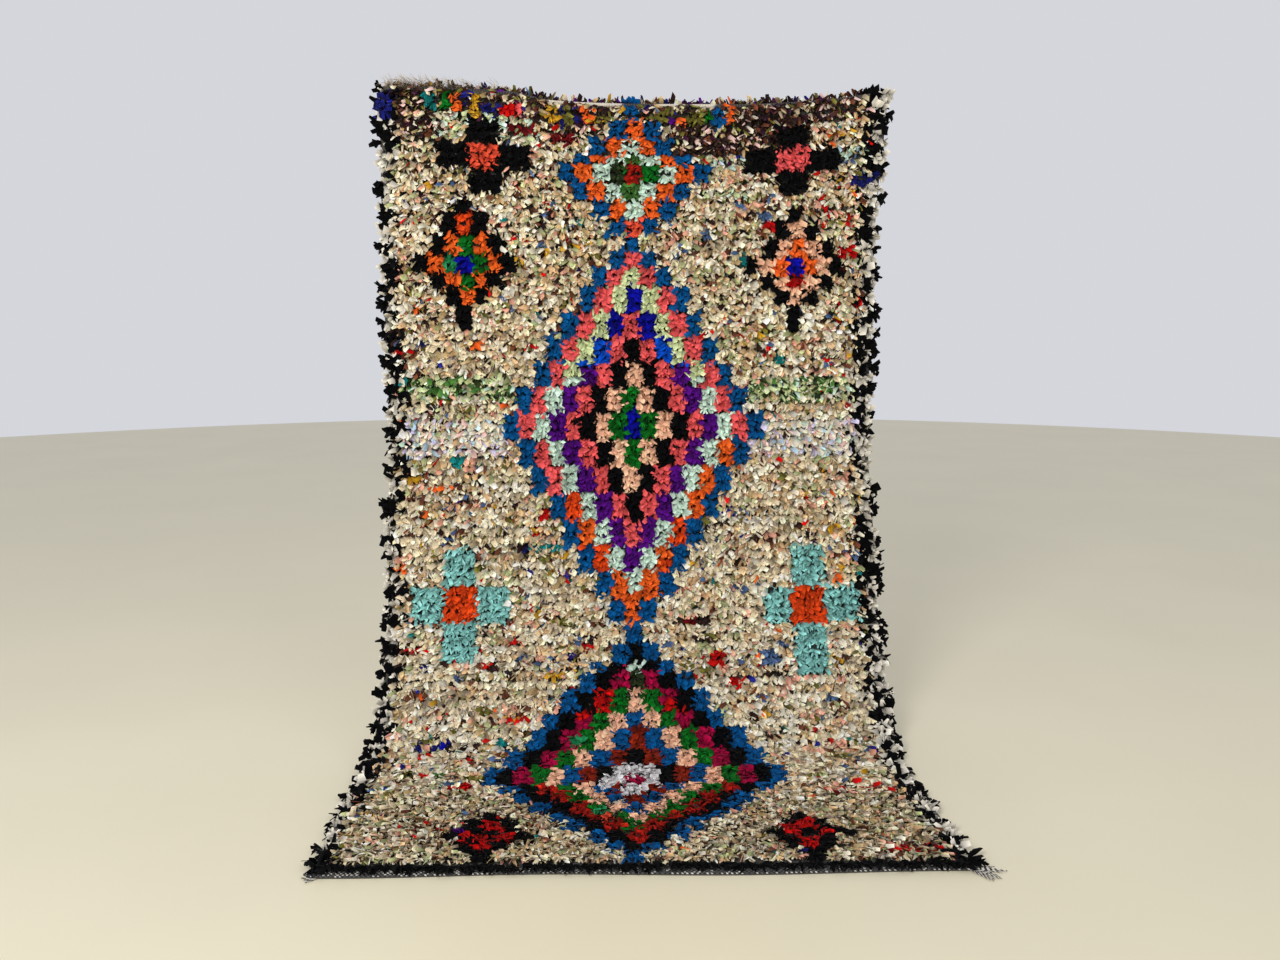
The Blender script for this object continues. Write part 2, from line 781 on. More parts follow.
MIDDLE_CHANGES = (
    Change(-0.20, 0.20, 0.30, 0.515, Rag.PURPLE, Rag.ROYAL),
    Change(-0.20, 0.20, 0.515, 0.575, Rag.PURPLE, Rag.COBALT),
    Change(-0.20, 0.20, 0.30, 0.600, Rag.MINT, Rag.LIME),
    Change(-0.32, 0.00, 0.75, 0.880, Rag.FLAME, Rag.CORAL),
    Change(0.00, 0.32, 0.75, 0.945, Rag.FLAME, Rag.ORANGE),
    Change(0.00, 0.32, 1.009, 1.050, Rag.FLAME, Rag.ORANGE),
    Change(-0.16, -0.09, 0.945, 1.000, Rag.FLAME, Rag.ORANGE),
    Block(0.004, 1.122, 0.100, 0.048, Rag.ORANGE),
    Block(0.002, 1.104, 0.024, 0.044, Rag.MINT),
    Block(0.014, 1.118, 0.016, 0.018, Rag.MINT),
    Change(-0.10, 0.10, 1.070, 1.210, Rag.FLAME, Rag.ORANGE),
)
LOWER_CHANGES = (
    Change(-0.05, 0.08, 1.60, 1.622, Rag.BLUE, Rag.COBALT),
    Change(-0.20, -0.05, 1.36, 1.44, Rag.MAGENTA, Rag.RED),
    Change(0.06, 0.12, 1.395, 1.43, Rag.MAGENTA, Rag.RED),
    Block(-0.132, 1.503, 0.036, 0.030, Rag.JADE),
    Block(-0.072, 1.787, 0.030, 0.020, Rag.JADE),
    Block(-0.038, 1.752, 0.020, 0.018, Rag.IVORY),
    Block(-0.055, 1.820, 0.024, 0.020, Rag.VERMILION),
    Block(0.076, 1.905, 0.020, 0.018, Rag.IVORY),
    Block(0.101, 1.700, 0.020, 0.024, Rag.PEACH),
    Block(-0.020, 1.610, 0.060, 0.050, Rag.SILVER),
    Block(-0.014, 1.662, 0.126, 0.056, Rag.SILVER),
    Block(-0.006, 1.702, 0.048, 0.044, Rag.SILVER),
    Block(-0.003, 1.664, 0.036, 0.040, Rag.MAGENTA),
)
CREST_TUFTS = (
    Block(-0.465, 0.018, 0.030, 0.034, Rag.TEAL),
    Block(-0.430, 0.014, 0.024, 0.034, Rag.GREEN),
    Block(-0.405, 0.018, 0.026, 0.034, Rag.ORANGE),
    Block(-0.385, 0.012, 0.016, 0.028, Rag.NAVY),
    Block(-0.366, 0.022, 0.018, 0.050, Rag.MUSTARD),
    Block(-0.335, 0.030, 0.044, 0.020, Rag.NAVY),
    Block(-0.290, 0.030, 0.040, 0.026, Rag.RED),
    Block(-0.262, 0.022, 0.016, 0.026, Rag.CORAL),
    Block(-0.185, 0.018, 0.034, 0.034, Rag.MUSTARD),
    Block(-0.150, 0.022, 0.026, 0.040, Rag.OLIVE),
    Block(-0.165, 0.024, 0.010, 0.046, Rag.NAVY),
    Block(-0.128, 0.014, 0.010, 0.034, Rag.NAVY),
    Block(-0.104, 0.014, 0.022, 0.028, Rag.ORANGE),
    Block(0.070, 0.014, 0.026, 0.028, Rag.OLIVE),
    Block(0.094, 0.028, 0.018, 0.022, Rag.PURPLE),
    Block(0.112, 0.024, 0.016, 0.024, Rag.ORANGE),
    Block(0.145, 0.020, 0.034, 0.034, Rag.OLIVE),
    Block(0.174, 0.022, 0.020, 0.032, Rag.GREEN),
    Block(0.200, 0.018, 0.030, 0.040, Rag.BLUE),
    Block(0.226, 0.010, 0.020, 0.036, Rag.ORANGE),
    Block(-0.255, 0.062, 0.060, 0.018, Rag.MAROON),
    Block(-0.160, 0.070, 0.050, 0.016, Rag.MAROON),
)
FOOT_MOTIFS = (
    Block(-0.336, 1.868, 0.036, 0.030, Rag.PURPLE),
    Block(-0.310, 1.860, 0.030, 0.036, Rag.BLACK),
    Block(-0.308, 1.932, 0.040, 0.022, Rag.BLACK),
    Lozenge(-0.280, 1.882, 0.034, 0.034, (0.044, 0.026), (0.036, 0.022), (Rag.BLACK, Rag.RED, Rag.BLACK)),
    Block(-0.298, 1.890, 0.030, 0.016, Rag.RED),
    Block(-0.256, 1.860, 0.030, 0.020, Rag.RED),
    Block(-0.283, 1.955, 0.034, 0.050, Rag.BLACK),
    Block(0.286, 1.846, 0.030, 0.030, Rag.BLACK),
    Lozenge(0.314, 1.876, 0.031, 0.030, (0.034, 0.024), (0.038, 0.024), (Rag.BLACK, Rag.RED, Rag.BLACK)),
    Block(0.288, 1.858, 0.034, 0.026, Rag.RED),
    Block(0.262, 1.905, 0.026, 0.022, Rag.BLACK),
    Block(0.313, 1.955, 0.034, 0.050, Rag.BLACK),
)
FIELD_TUFTS = (
    Block(0.158, 1.203, 0.046, 0.022, Rag.UMBER),
    Block(0.132, 1.203, 0.020, 0.020, Rag.MAROON),
    Block(0.315, 1.297, 0.046, 0.034, Rag.SLATE),
    Block(0.190, 1.297, 0.036, 0.032, Rag.RED),
    Block(0.232, 1.349, 0.030, 0.028, Rag.RED),
    Block(-0.420, 0.800, 0.034, 0.026, Rag.TEAL),
    Block(-0.525, 0.840, 0.026, 0.022, Rag.MUSTARD),
    Block(-0.300, 1.510, 0.022, 0.024, Rag.TEAL),
    Block(-0.478, 1.510, 0.014, 0.022, Rag.NAVY),
    Block(-0.449, 1.512, 0.014, 0.022, Rag.NAVY),
    Block(-0.420, 1.508, 0.016, 0.024, Rag.ROYAL),
    Block(0.515, 0.318, 0.040, 0.026, Rag.RED),
    Block(0.325, 0.260, 0.020, 0.020, Rag.RED),
    Block(0.310, 0.238, 0.026, 0.020, Rag.SLATE),
    Block(0.175, 0.274, 0.020, 0.020, Rag.SLATE),
    Block(0.468, 0.227, 0.022, 0.018, Rag.RED),
    Block(0.520, 0.250, 0.020, 0.022, Rag.RED),
    Block(0.270, 0.335, 0.018, 0.018, Rag.TEAL),
    Block(-0.448, 1.625, 0.024, 0.024, Rag.RED),
    Block(-0.350, 1.680, 0.028, 0.028, Rag.RED),
    Block(-0.415, 1.630, 0.022, 0.024, Rag.LEAF),
    Block(-0.490, 1.630, 0.030, 0.022, Rag.OLIVE),
    Block(0.455, 1.395, 0.026, 0.020, Rag.SLATE),
    Block(0.350, 0.560, 0.026, 0.020, Rag.TEAL),
)
MOTIFS = (
    *CREST_TUFTS,
    *FIELD_TUFTS,
    Cross(-0.345, 0.125, 0.072, 0.050, Rag.VERMILION, Rag.BLACK),
    Cross(0.378, 0.114, 0.077, 0.050, Rag.CORAL, Rag.BLACK),
    LEFT_LOZENGE,
    Change(-0.45, -0.40, 0.300, 0.380, Rag.GREEN, Rag.JADE),
    Change(-0.42, -0.36, 0.230, 0.290, Rag.ORANGE, Rag.FLAME),
    RIGHT_LOZENGE,
    TOP_LOZENGE,
    *TOP_CHANGES,
    MIDDLE_LOZENGE,
    *MIDDLE_CHANGES,
    LOWER_LOZENGE,
    *LOWER_CHANGES,
    Block(0.0, 1.314, 0.034, 0.022, Rag.MINT),
    Block(0.0, 1.348, 0.034, 0.044, Rag.MOSS),
    Cross(-0.413, 1.152, 0.078, 0.095, Rag.FLAME, Rag.TURQUOISE),
    Block(0.416, 1.178, 0.079, 0.330, Rag.TURQUOISE),
    Block(0.424, 1.163, 0.226, 0.094, Rag.TURQUOISE),
    Block(0.415, 1.163, 0.080, 0.094, Rag.FLAME),
    *FOOT_MOTIFS,
)


@dataclass(frozen=True)
class Zone:
    """A stretch of the field that is knotted from its own mix, with soft ends."""

    left: float
    right: float
    top: float
    bottom: float
    mix: Mix
    share: float = 1.0

    def holds(self, across: np.ndarray, below: np.ndarray, chance: np.ndarray) -> np.ndarray:
        """Whether each knot takes its rag from this zone."""
        inside = (across > self.left) & (across < self.right)
        return inside & (below > self.top) & (below < self.bottom) & (chance < self.share)


ZONES = (
    Zone(-0.60, 0.60, -0.010, 0.300, UPPER_MIX, 0.80),
    Zone(-0.60, 0.60, 0.300, 0.600, UPPER_MIX, 0.45),
    Zone(-0.60, 0.60, 0.660, 0.950, UPPER_MIX, 0.25),
    Zone(-0.60, -0.43, 0.020, 0.100, DARK_MIX, 0.64),
    Zone(-0.43, -0.10, 0.030, 0.060, DARK_MIX, 0.40),
    Zone(0.09, 0.42, 0.020, 0.097, DARK_MIX, 0.92),
    Zone(-0.57, -0.40, 0.090, 0.155, DUSTY_MIX, 0.75),
    Zone(0.02, 0.30, 0.090, 0.125, DARK_MIX, 0.30),
    Zone(-0.60, 0.24, -0.010, 0.034, BRIGHT_MIX, 0.80),
    Zone(0.24, 0.60, -0.010, 0.036, DARK_MIX, 0.80),
    Zone(-0.46, -0.22, 0.040, 0.090, PALE_MIX, 0.60),
    Zone(0.15, 0.27, 0.172, 0.198, PALE_MIX, 0.60),
    Zone(-0.26, -0.12, 0.095, 0.150, DUSTY_MIX, 0.75),
    Zone(0.43, 0.57, 0.052, 0.088, WARM_MIX, 0.70),
    Zone(0.46, 0.57, 0.090, 0.128, COOL_MIX, 0.70),
    Zone(0.17, 0.30, 0.100, 0.130, COOL_MIX, 0.60),
    Zone(0.47, 0.56, 0.155, 0.200, WARM_MIX, 0.40),
    Zone(-0.56, -0.30, 1.830, 1.930, RED_MIX, 0.18),
    Zone(0.28, 0.60, 0.605, 0.660, GREEN_MIX, 0.85),
    Zone(-0.56, -0.28, 0.600, 0.655, GREEN_MIX, 0.85),
    Zone(0.28, 0.56, 0.700, 0.790, PASTEL_MIX, 0.85),
    Zone(-0.56, -0.30, 0.700, 0.790, PASTEL_MIX, 0.85),
    Zone(-0.60, 0.60, 1.690, 2.000, DUSTY_MIX, 0.85),
    Zone(0.385, 0.545, 1.695, 1.725, RED_MIX, 0.6),
    Zone(0.430, 0.575, 1.920, 1.950, RED_MIX, 0.6),
    Zone(-0.60, 0.60, -0.200, -0.010, FLAP_MIX, 0.9),
    Zone(-0.60, -0.36, -0.040, 0.030, DARK_MIX, 0.7),
)


@dataclass(frozen=True)
class Stripe:
    """One upright stripe of a side border, made of black and white tufts.

    Attributes:
        width: its width.
        black_above: the chance that a tuft is black in the rug's upper part.
        black_below: the same in its lower part.
    """

    width: float
    black_above: float
    black_below: float


LEFT_BORDER = (Stripe(0.009, 0.66, 0.88), Stripe(0.013, 0.16, 0.20), Stripe(0.012, 0.74, 0.86))
RIGHT_BORDER = (Stripe(0.009, 0.64, 0.88), Stripe(0.019, 0.10, 0.08), Stripe(0.014, 0.82, 0.90))
CORNER_TUFTS = (Block(-0.575, 0.028, 0.040, 0.052, Rag.NAVY), Block(0.545, 0.165, 0.060, 0.022, Rag.NAVY))
PARTINGS = ((-0.20, -0.02), (0.045, 0.12), (0.145, 0.20))


def in_parting(across: np.ndarray) -> np.ndarray:
    """Whether the pile parts along the crest at each place across, so that the cloth shows."""
    return np.any([(across > left) & (across < right) for left, right in PARTINGS], axis=0)


@dataclass(frozen=True)
class Chart:
    """Which rag each strip of the rug is torn from.

    Attributes:
        wobble: how far a motif's edge strays from its straight line.
        run_length: how far one rag reaches along its row of knots.
        keeps_to_run: the share of knots that keep to their row's run.
        own_rag: the share of strips that differ from their knot.
        own_in_zone: the same in the zones that have mixes of their own.
        zigzag: how far the tufts of the side borders stray sideways.
        firms_up: where down the cloth the borders' black stripes begin to close up.
        black_rows: how far up from the foot's front edge the rows of black pile reach.
        past_foot: how far past that edge a strip may show before it is black too.
        margin: how far under the crest of the fold the pattern's own top lies.
    """

    wobble: float = 0.0022
    run_length: float = 0.060
    keeps_to_run: float = 0.30
    own_rag: float = 0.28
    own_in_zone: float = 0.75
    zigzag: float = 0.0035
    firms_up: float = 0.45
    black_rows: float = 0.022
    past_foot: float = 0.004
    margin: float = 0.019

    def field(self, knots: Knots, draws: np.random.Generator) -> np.ndarray:
        """Draws the rags of the field, knot by knot, with some runs along each row.

        Args:
            knots: where the strips are knotted.
            draws: the source of chances.

        Returns:
            Each strip's rag number.
        """
        rows, count = knots.row.max() + 1, len(knots.row)
        row_start = draws.random(rows) * self.run_length
        run = np.floor((knots.across + HALF_WIDTH + row_start[knots.row]) / self.run_length).astype(int)
        run_chances = draws.random((rows, run.max() + 2))[knots.row, run]
        knot_chances = draws.random(knots.knot.max() + 1)[knots.knot]
        in_run = draws.random(knots.knot.max() + 1)[knots.knot] < self.keeps_to_run
        chance = np.where(in_run, run_chances, knot_chances)
        chance = np.where(draws.random(count) < self.own_rag, draws.random(count), chance)
        rags = PLAIN_MIX.draw(chance)
        for zone in ZONES:
            held = zone.holds(knots.seen_across, knots.seen_below - self.margin, draws.random(count))
            own = draws.random(count) < self.own_in_zone
            in_zone = np.where(own, draws.random(count), chance)
            rags[held] = zone.mix.draw(in_zone[held])
        return rags

    def border(self, knots: Knots, side: int, rags: np.ndarray, draws: np.random.Generator) -> None:
        """Sets the rags of the border along one side.

        Args:
            knots: where the strips are knotted.
            side: 1 for the right border, -1 for the left.
            rags: each strip's rag number, changed here.
            draws: the source of chances.
        """
        rows = knots.row.max() + 1
        inward = HALF_WIDTH - side * knots.across
        lower = knots.below > self.firms_up
        start = np.full(rows, -1.0)
        width = 0.0
        for stripe in RIGHT_BORDER if side > 0 else LEFT_BORDER:
            width += stripe.width
            reach = width + draws.normal(0.0, self.zigzag, rows)
            chance = np.where(lower, stripe.black_below, stripe.black_above)
            black = draws.random(rows)[knots.row] < chance
            inside = (inward > start[knots.row]) & (inward <= reach[knots.row])
            rags[inside] = np.where(black, NUMBER[Rag.BLACK], NUMBER[Rag.WHITE])[inside]
            start = reach

    def rags_at(self, knots: Knots, foot: float, draws: np.random.Generator) -> np.ndarray:
        """Draws the whole rug's rags, the field first and the motifs and borders over it.

        Args:
            knots: where the strips are knotted, and where they show.
            foot: the value of "below" at the foot's front edge.
            draws: the source of chances.

        Returns:
            Each strip's rag number.
        """
        rags = self.field(knots, draws)
        count = len(rags)
        across = knots.seen_across + draws.normal(0.0, self.wobble, count)
        below = knots.seen_below - self.margin + draws.normal(0.0, self.wobble, count)
        for motif in MOTIFS:
            motif.paint(across, below, rags)
        for side in (-1, 1):
            self.border(knots, side, rags, draws)
        for tuft in CORNER_TUFTS:
            tuft.paint(across, below, rags)
        at_foot = knots.below > foot - self.black_rows
        at_foot |= knots.seen_below > foot + self.past_foot
        rags[at_foot] = NUMBER[Rag.BLACK]
        return rags


class Recipe:
    """One material's nodes, each added with its settings and with what its inputs take.

    An input takes a plain value, or the output of another node, which is then linked to it.
    """

    def __init__(self, name: str, inputs: dict[str, Feed]) -> None:
        """Starts the material.

        Args:
            name: the material's name.
            inputs: plain values for its shader.
        """
        self.material = bpy.data.materials.new(name)
        self.material.use_nodes = True
        self.shader = self.material.node_tree.nodes["Principled BSDF"]
        self.feed(self.shader, inputs)

    def feed(self, node: bpy.types.Node, inputs: dict[str | int, Feed]) -> None:
        """Gives a node's inputs their values and links.

        Args:
            node: the node.
            inputs: what each input takes, by its name or number.
        """
        for name, value in inputs.items():
            if isinstance(value, bpy.types.NodeSocket):
                self.material.node_tree.links.new(value, node.inputs[name])
            else:
                node.inputs[name].default_value = value

    def add(
        self, kind: str, inputs: dict[str | int, Feed], output: str | int = 0, **settings: str
    ) -> bpy.types.NodeSocket:
        """Adds one node.

        Args:
            kind: the node's kind, without its prefix.
            inputs: what its inputs take.
            output: the output that is asked for.
            **settings: the node's own settings.

        Returns:
            That output.
        """
        node = self.material.node_tree.nodes.new("ShaderNode" + kind)
        for name, value in settings.items():
            setattr(node, name, value)
        self.feed(node, inputs)
        return node.outputs[output]

    def place(self) -> bpy.types.NodeSocket:
        """The place on the object."""
        return self.add("TexCoord", {}, "Object")

    def attribute(self, name: str, output: str = "Color") -> bpy.types.NodeSocket:
        """Reads one of the mesh's own attributes."""
        return self.add("Attribute", {}, output, attribute_name=name)

    def noise(self, place: bpy.types.NodeSocket, scale: float, detail: float) -> bpy.types.NodeSocket:
        """Adds cloudy noise."""
        return self.add("TexNoise", {"Vector": place, "Scale": scale, "Detail": detail})

    def cells(self, place: bpy.types.NodeSocket, scale: float) -> bpy.types.NodeSocket:
        """Adds scattered cells, and gives the distance to the nearest one's middle."""
        return self.add("TexVoronoi", {"Vector": place, "Scale": scale}, "Distance")

    def math(self, operation: str, *values: Feed) -> bpy.types.NodeSocket:
        """Works out one number from others."""
        return self.add("Math", dict(enumerate(values)), operation=operation)

    def mapped(self, value: Feed, old: tuple[float, float], new: tuple[float, float]) -> bpy.types.NodeSocket:
        """Maps a value from one range to another, and holds it at both ends."""
        ends = {"From Min": old[0], "From Max": old[1], "To Min": new[0], "To Max": new[1]}
        return self.add("MapRange", {"Value": value, **ends})

    def mixed(self, share: Feed, first: Feed, second: Feed, blend: str = "MIX") -> bpy.types.NodeSocket:
        """Mixes two colours by a share of 0 to 1."""
        inputs = {"Factor": share, "A": first, "B": second}
        return self.add("Mix", inputs, "Result", data_type="RGBA", blend_type=blend)

    def finish(self, colour: Feed, height: Feed, strength: float, depth: float) -> bpy.types.Material:
        """Gives the shader its colour and its fine relief.

        Args:
            colour: the colour.
            height: the relief's height, 0 to 1.
            strength: how strongly the relief shows.
            depth: how deep it is, in metres.

        Returns:
            The finished material.
        """
        relief = {"Height": height, "Strength": strength, "Distance": depth}
        normal = self.add("Bump", relief, "Normal")
        self.feed(self.shader, {"Base Color": colour, "Normal": normal})
        return self.material


@dataclass(frozen=True)
class RagFinish:
    """Torn cotton rag: matt, softly fuzzy, with small printed marks and crumples.

    Attributes:
        roughness: of the cloth's surface.
        sheen: strength of the fuzz that catches the light.
        sheen_roughness: how far that light spreads.
        specular: level of its plain reflection.
        print_scale: printed marks for each metre.
        print_edge: the distances from a mark's middle at which it ends and is full.
        unprinted: the share of places that have no mark.
        ink: the marks' saturation and value.
        mottle_scale: faded patches for each metre.
        mottle: how dark and how light the patches are.
        crumple_scale: crumples for each metre.
        weave_scale: threads for each metre.
        thread_relief: the threads' height against the crumples'.
        bump: height of the crumples, in metres.
        bump_strength: how strongly they show.
    """

    roughness: float = 0.9
    sheen: float = 0.02
    sheen_roughness: float = 0.6
    specular: float = 0.06
    print_scale: float = 210.0
    print_edge: tuple[float, float] = (0.44, 0.30)
    unprinted: float = 0.62
    ink: tuple[float, float] = (0.72, 0.26)
    mottle_scale: float = 55.0
    mottle: tuple[float, float] = (0.82, 1.12)
    crumple_scale: float = 260.0
    weave_scale: float = 1500.0
    thread_relief: float = 0.15
    bump: float = 0.0006
    bump_strength: float = 0.4

    def material(self, name: str) -> bpy.types.Material:
        """Builds the material, which reads the strips' own colours from their attributes.

        Args:
            name: the material's name.

        Returns:
            The new material.
        """
        made = Recipe(name, {
            "Roughness": self.roughness,
            "Sheen Weight": self.sheen,
            "Sheen Roughness": self.sheen_roughness,
            "Specular IOR Level": self.specular,
        })
        place = made.place()
        marks = made.cells(place, self.print_scale)
        parts = made.add("SeparateColor", {"Color": marks.node.outputs["Color"]}).node.outputs
        hue = {"Red": parts["Red"], "Green": self.ink[0], "Blue": self.ink[1]}
        ink = made.add("CombineColor", hue, mode="HSV")
        near = made.mapped(marks, self.print_edge, (0.0, 1.0))
        chosen = made.math("GREATER_THAN", parts["Green"], self.unprinted)
        marked = made.math("MULTIPLY", near, chosen)
        strength = made.math("MULTIPLY", marked, made.attribute("prints", "Fac"))
        printed = made.mixed(strength, made.attribute("rag"), ink)
        faded = made.mapped(made.noise(place, self.mottle_scale, 3.0), (0.3, 0.7), self.mottle)
        worn = made.mixed(1.0, printed, faded, "MULTIPLY")
        crumple = made.noise(place, self.crumple_scale, 4.0)
        weave = made.cells(place, self.weave_scale)
        relief = made.math("MULTIPLY_ADD", weave, self.thread_relief, crumple)
        return made.finish(worn, relief, self.bump_strength, self.bump)


@dataclass(frozen=True)
class StripShapes:
    """The torn strips' shapes: closed, three-sided, bent at the middle and twisted, one long.

    Attributes:
        strips: how many shapes of strip there are, which come first.
        threads: how many shapes of thread there are.
        strip_width: the least and the most width of a strip, against its length.
        thread_width: the same for a thread.
        thickness: the least and the most thickness at the crease, against the width.
        bend: the least and the most bend at the middle, in degrees.
        turn: how far the root turns out of the bend's own plane, in degrees.
        twist: the most twist over the length, in degrees.
        slant: the most slant of the torn tip, in degrees.
        swells: the least and the most width at the root, the middle and the tip.
        corner_width: how much wider the three-sided rings are made, for their flat sides.
        shade: how light the cloth is at the root, at the middle and at the tip.
        pressed: the height over the floor under which the strips are pressed flat.
        seen_from: how far up its length a strip starts to be seen.
        seen_share: the share of the way to its tip at which its seen half has its middle.
    """

    strips: int = 28
    threads: int = 4
    strip_width: tuple[float, float] = (0.20, 0.45)
    thread_width: tuple[float, float] = (0.035, 0.06)
    thickness: tuple[float, float] = (0.14, 0.34)
    bend: tuple[float, float] = (25.0, 80.0)
    turn: float = 28.0
    twist: float = 45.0
    slant: float = 40.0
    swells: tuple[tuple[float, float], ...] = ((0.5, 0.7), (0.95, 1.2), (0.4, 1.05))
    corner_width: float = 1.15
    shade: tuple[float, float, float] = (0.05, 0.46, 1.02)
    pressed: float = 0.003
    seen_from: float = 0.2
    seen_share: float = 0.6

    def shape(self, width: float, draws: np.random.Generator) -> bmesh.types.BMesh:
        """Shapes one strip of unit length, rooted at the origin, which bends towards -Y.

        Args:
            width: its width.
            draws: the source of chances.

        Returns:
            The strip's closed mesh.
        """
        strip = bmesh.new()
        middle, end = Vector((0.0, 0.0, 0.5)), Vector((0.0, 0.0, 1.0))
        lifted = Matrix.Translation(middle)
        bmesh.ops.create_cone(
            strip, cap_ends=True, segments=3, radius1=0.5, radius2=0.5, depth=1.0, matrix=lifted
        )
        sides = [edge for edge in strip.edges if abs(edge.verts[0].co.z - edge.verts[1].co.z) > 0.5]
        bmesh.ops.subdivide_edges(strip, edges=sides, cuts=1)
        twist = math.radians(draws.uniform(-self.twist, self.twist))
        turn = math.radians(draws.uniform(-self.turn, self.turn) + draws.choice((0.0, 180.0)))
        bend = math.radians(draws.uniform(*self.bend))
        thick = width * draws.uniform(*self.thickness)
        swells = [draws.uniform(*swell) for swell in self.swells]
        rings = [[vert for vert in strip.verts if round(vert.co.z * 2) == level] for level in range(3)]
        for level, (ring, swell) in enumerate(zip(rings, swells)):
            centre = end * level / 2
            size = (width * swell * self.corner_width, thick, 1.0)
            bmesh.ops.scale(strip, verts=ring, vec=size, space=Matrix.Translation(-centre))
            spin = Matrix.Rotation(turn + twist * level / 2, 3, "Z")
            bmesh.ops.rotate(strip, verts=ring, cent=centre, matrix=spin)
        slant = Matrix.Rotation(math.radians(draws.uniform(-self.slant, self.slant)), 3, "Y")
        bmesh.ops.rotate(strip, verts=rings[2], cent=end, matrix=slant)
        bmesh.ops.rotate(strip, verts=rings[2], cent=middle, matrix=Matrix.Rotation(bend, 3, "X"))
        bmesh.ops.rotate(strip, verts=rings[1], cent=middle, matrix=Matrix.Rotation(bend / 2, 3, "X"))
        bmesh.ops.recalc_face_normals(strip, faces=strip.faces[:])
        bmesh.ops.triangulate(strip, faces=strip.faces[:])
        return strip


@dataclass
class Strips:
    """Many strips at once, one row each: where they are rooted, how they point and their rags."""

    root: np.ndarray
    along: np.ndarray
    face: np.ndarray
    length: np.ndarray
    wide: np.ndarray
    kind: np.ndarray
    rag: np.ndarray
    light: np.ndarray

    def some(self, which: np.ndarray) -> Strips:
        """Only these strips."""
        return Strips(*(getattr(self, field.name)[which] for field in fields(self)))


class StripMesher:
    """Joins strips into one mesh from arrays, with each strip's colour in an attribute."""

    def __init__(self, shapes: StripShapes, draws: np.random.Generator) -> None:
        """Makes every kind of strip once, for every piece.

        Args:
            shapes: the strips' shapes.
            draws: the source of chances.
        """
        self.shapes = shapes
        strip_widths = np.linspace(*shapes.strip_width, shapes.strips)
        thread_widths = np.linspace(*shapes.thread_width, shapes.threads)
        points, faces = [], []
        for width in (*strip_widths, *thread_widths):
            strip = shapes.shape(width, draws)
            faces.append(corners_of(strip))
            points.append(points_of(strip))
            strip.free()
        self.points = np.array(points)
        self.faces = np.array(faces)
        at_root = np.abs(self.points[:, :, 2]) < 0.001
        at_middle = np.linalg.norm(self.points - (0.0, 0.0, 0.5), axis=2) < 0.4
        self.shade = np.select([at_root, at_middle], shapes.shade[:2], shapes.shade[2])
        at_tip = ~at_root & ~at_middle
        tips = np.array([part[tip].mean(axis=0) for part, tip in zip(self.points, at_tip)])
        self.seen = tips * shapes.seen_share + (0.0, 0.0, shapes.seen_from)

    def mesh(self, name: str, strips: Strips) -> bpy.types.Object:
        """Joins the strips into one piece.

        Args:
            name: the piece's name.
            strips: the strips that it holds.

        Returns:
            The new object, at the origin, with its place in its mesh.
        """
        local = self.points[strips.kind] * strips.length[:, None, None]
        local[:, :, 0] *= (yarns_of(strips.rag, "width") * strips.wide)[:, None]
        side = np.cross(strips.face, strips.along)
        places = carried(local, [side, strips.face, strips.along], strips.root)
        height = places[:, :, 2]
        pressed = self.shapes.pressed * np.exp(np.minimum(height / self.shapes.pressed - 1.0, 0.0))
        places[:, :, 2] = np.where(height < self.shapes.pressed, pressed, height)
        mesh = joined(name, places, self.faces[strips.kind])
        mesh.shade_flat()
        lit = colours_of(strips.rag) * strips.light[:, None]
        colours = lit[:, None, :] * self.shade[strips.kind][:, :, None]
        colour_points(mesh, colours.reshape(-1, 3))
        prints = np.repeat(yarns_of(strips.rag, "prints"), places.shape[1])
        mark = mesh.attributes.new("prints", "FLOAT", "POINT")
        mark.data.foreach_set("value", prints.astype(np.float32))
        return placed(name, mesh)


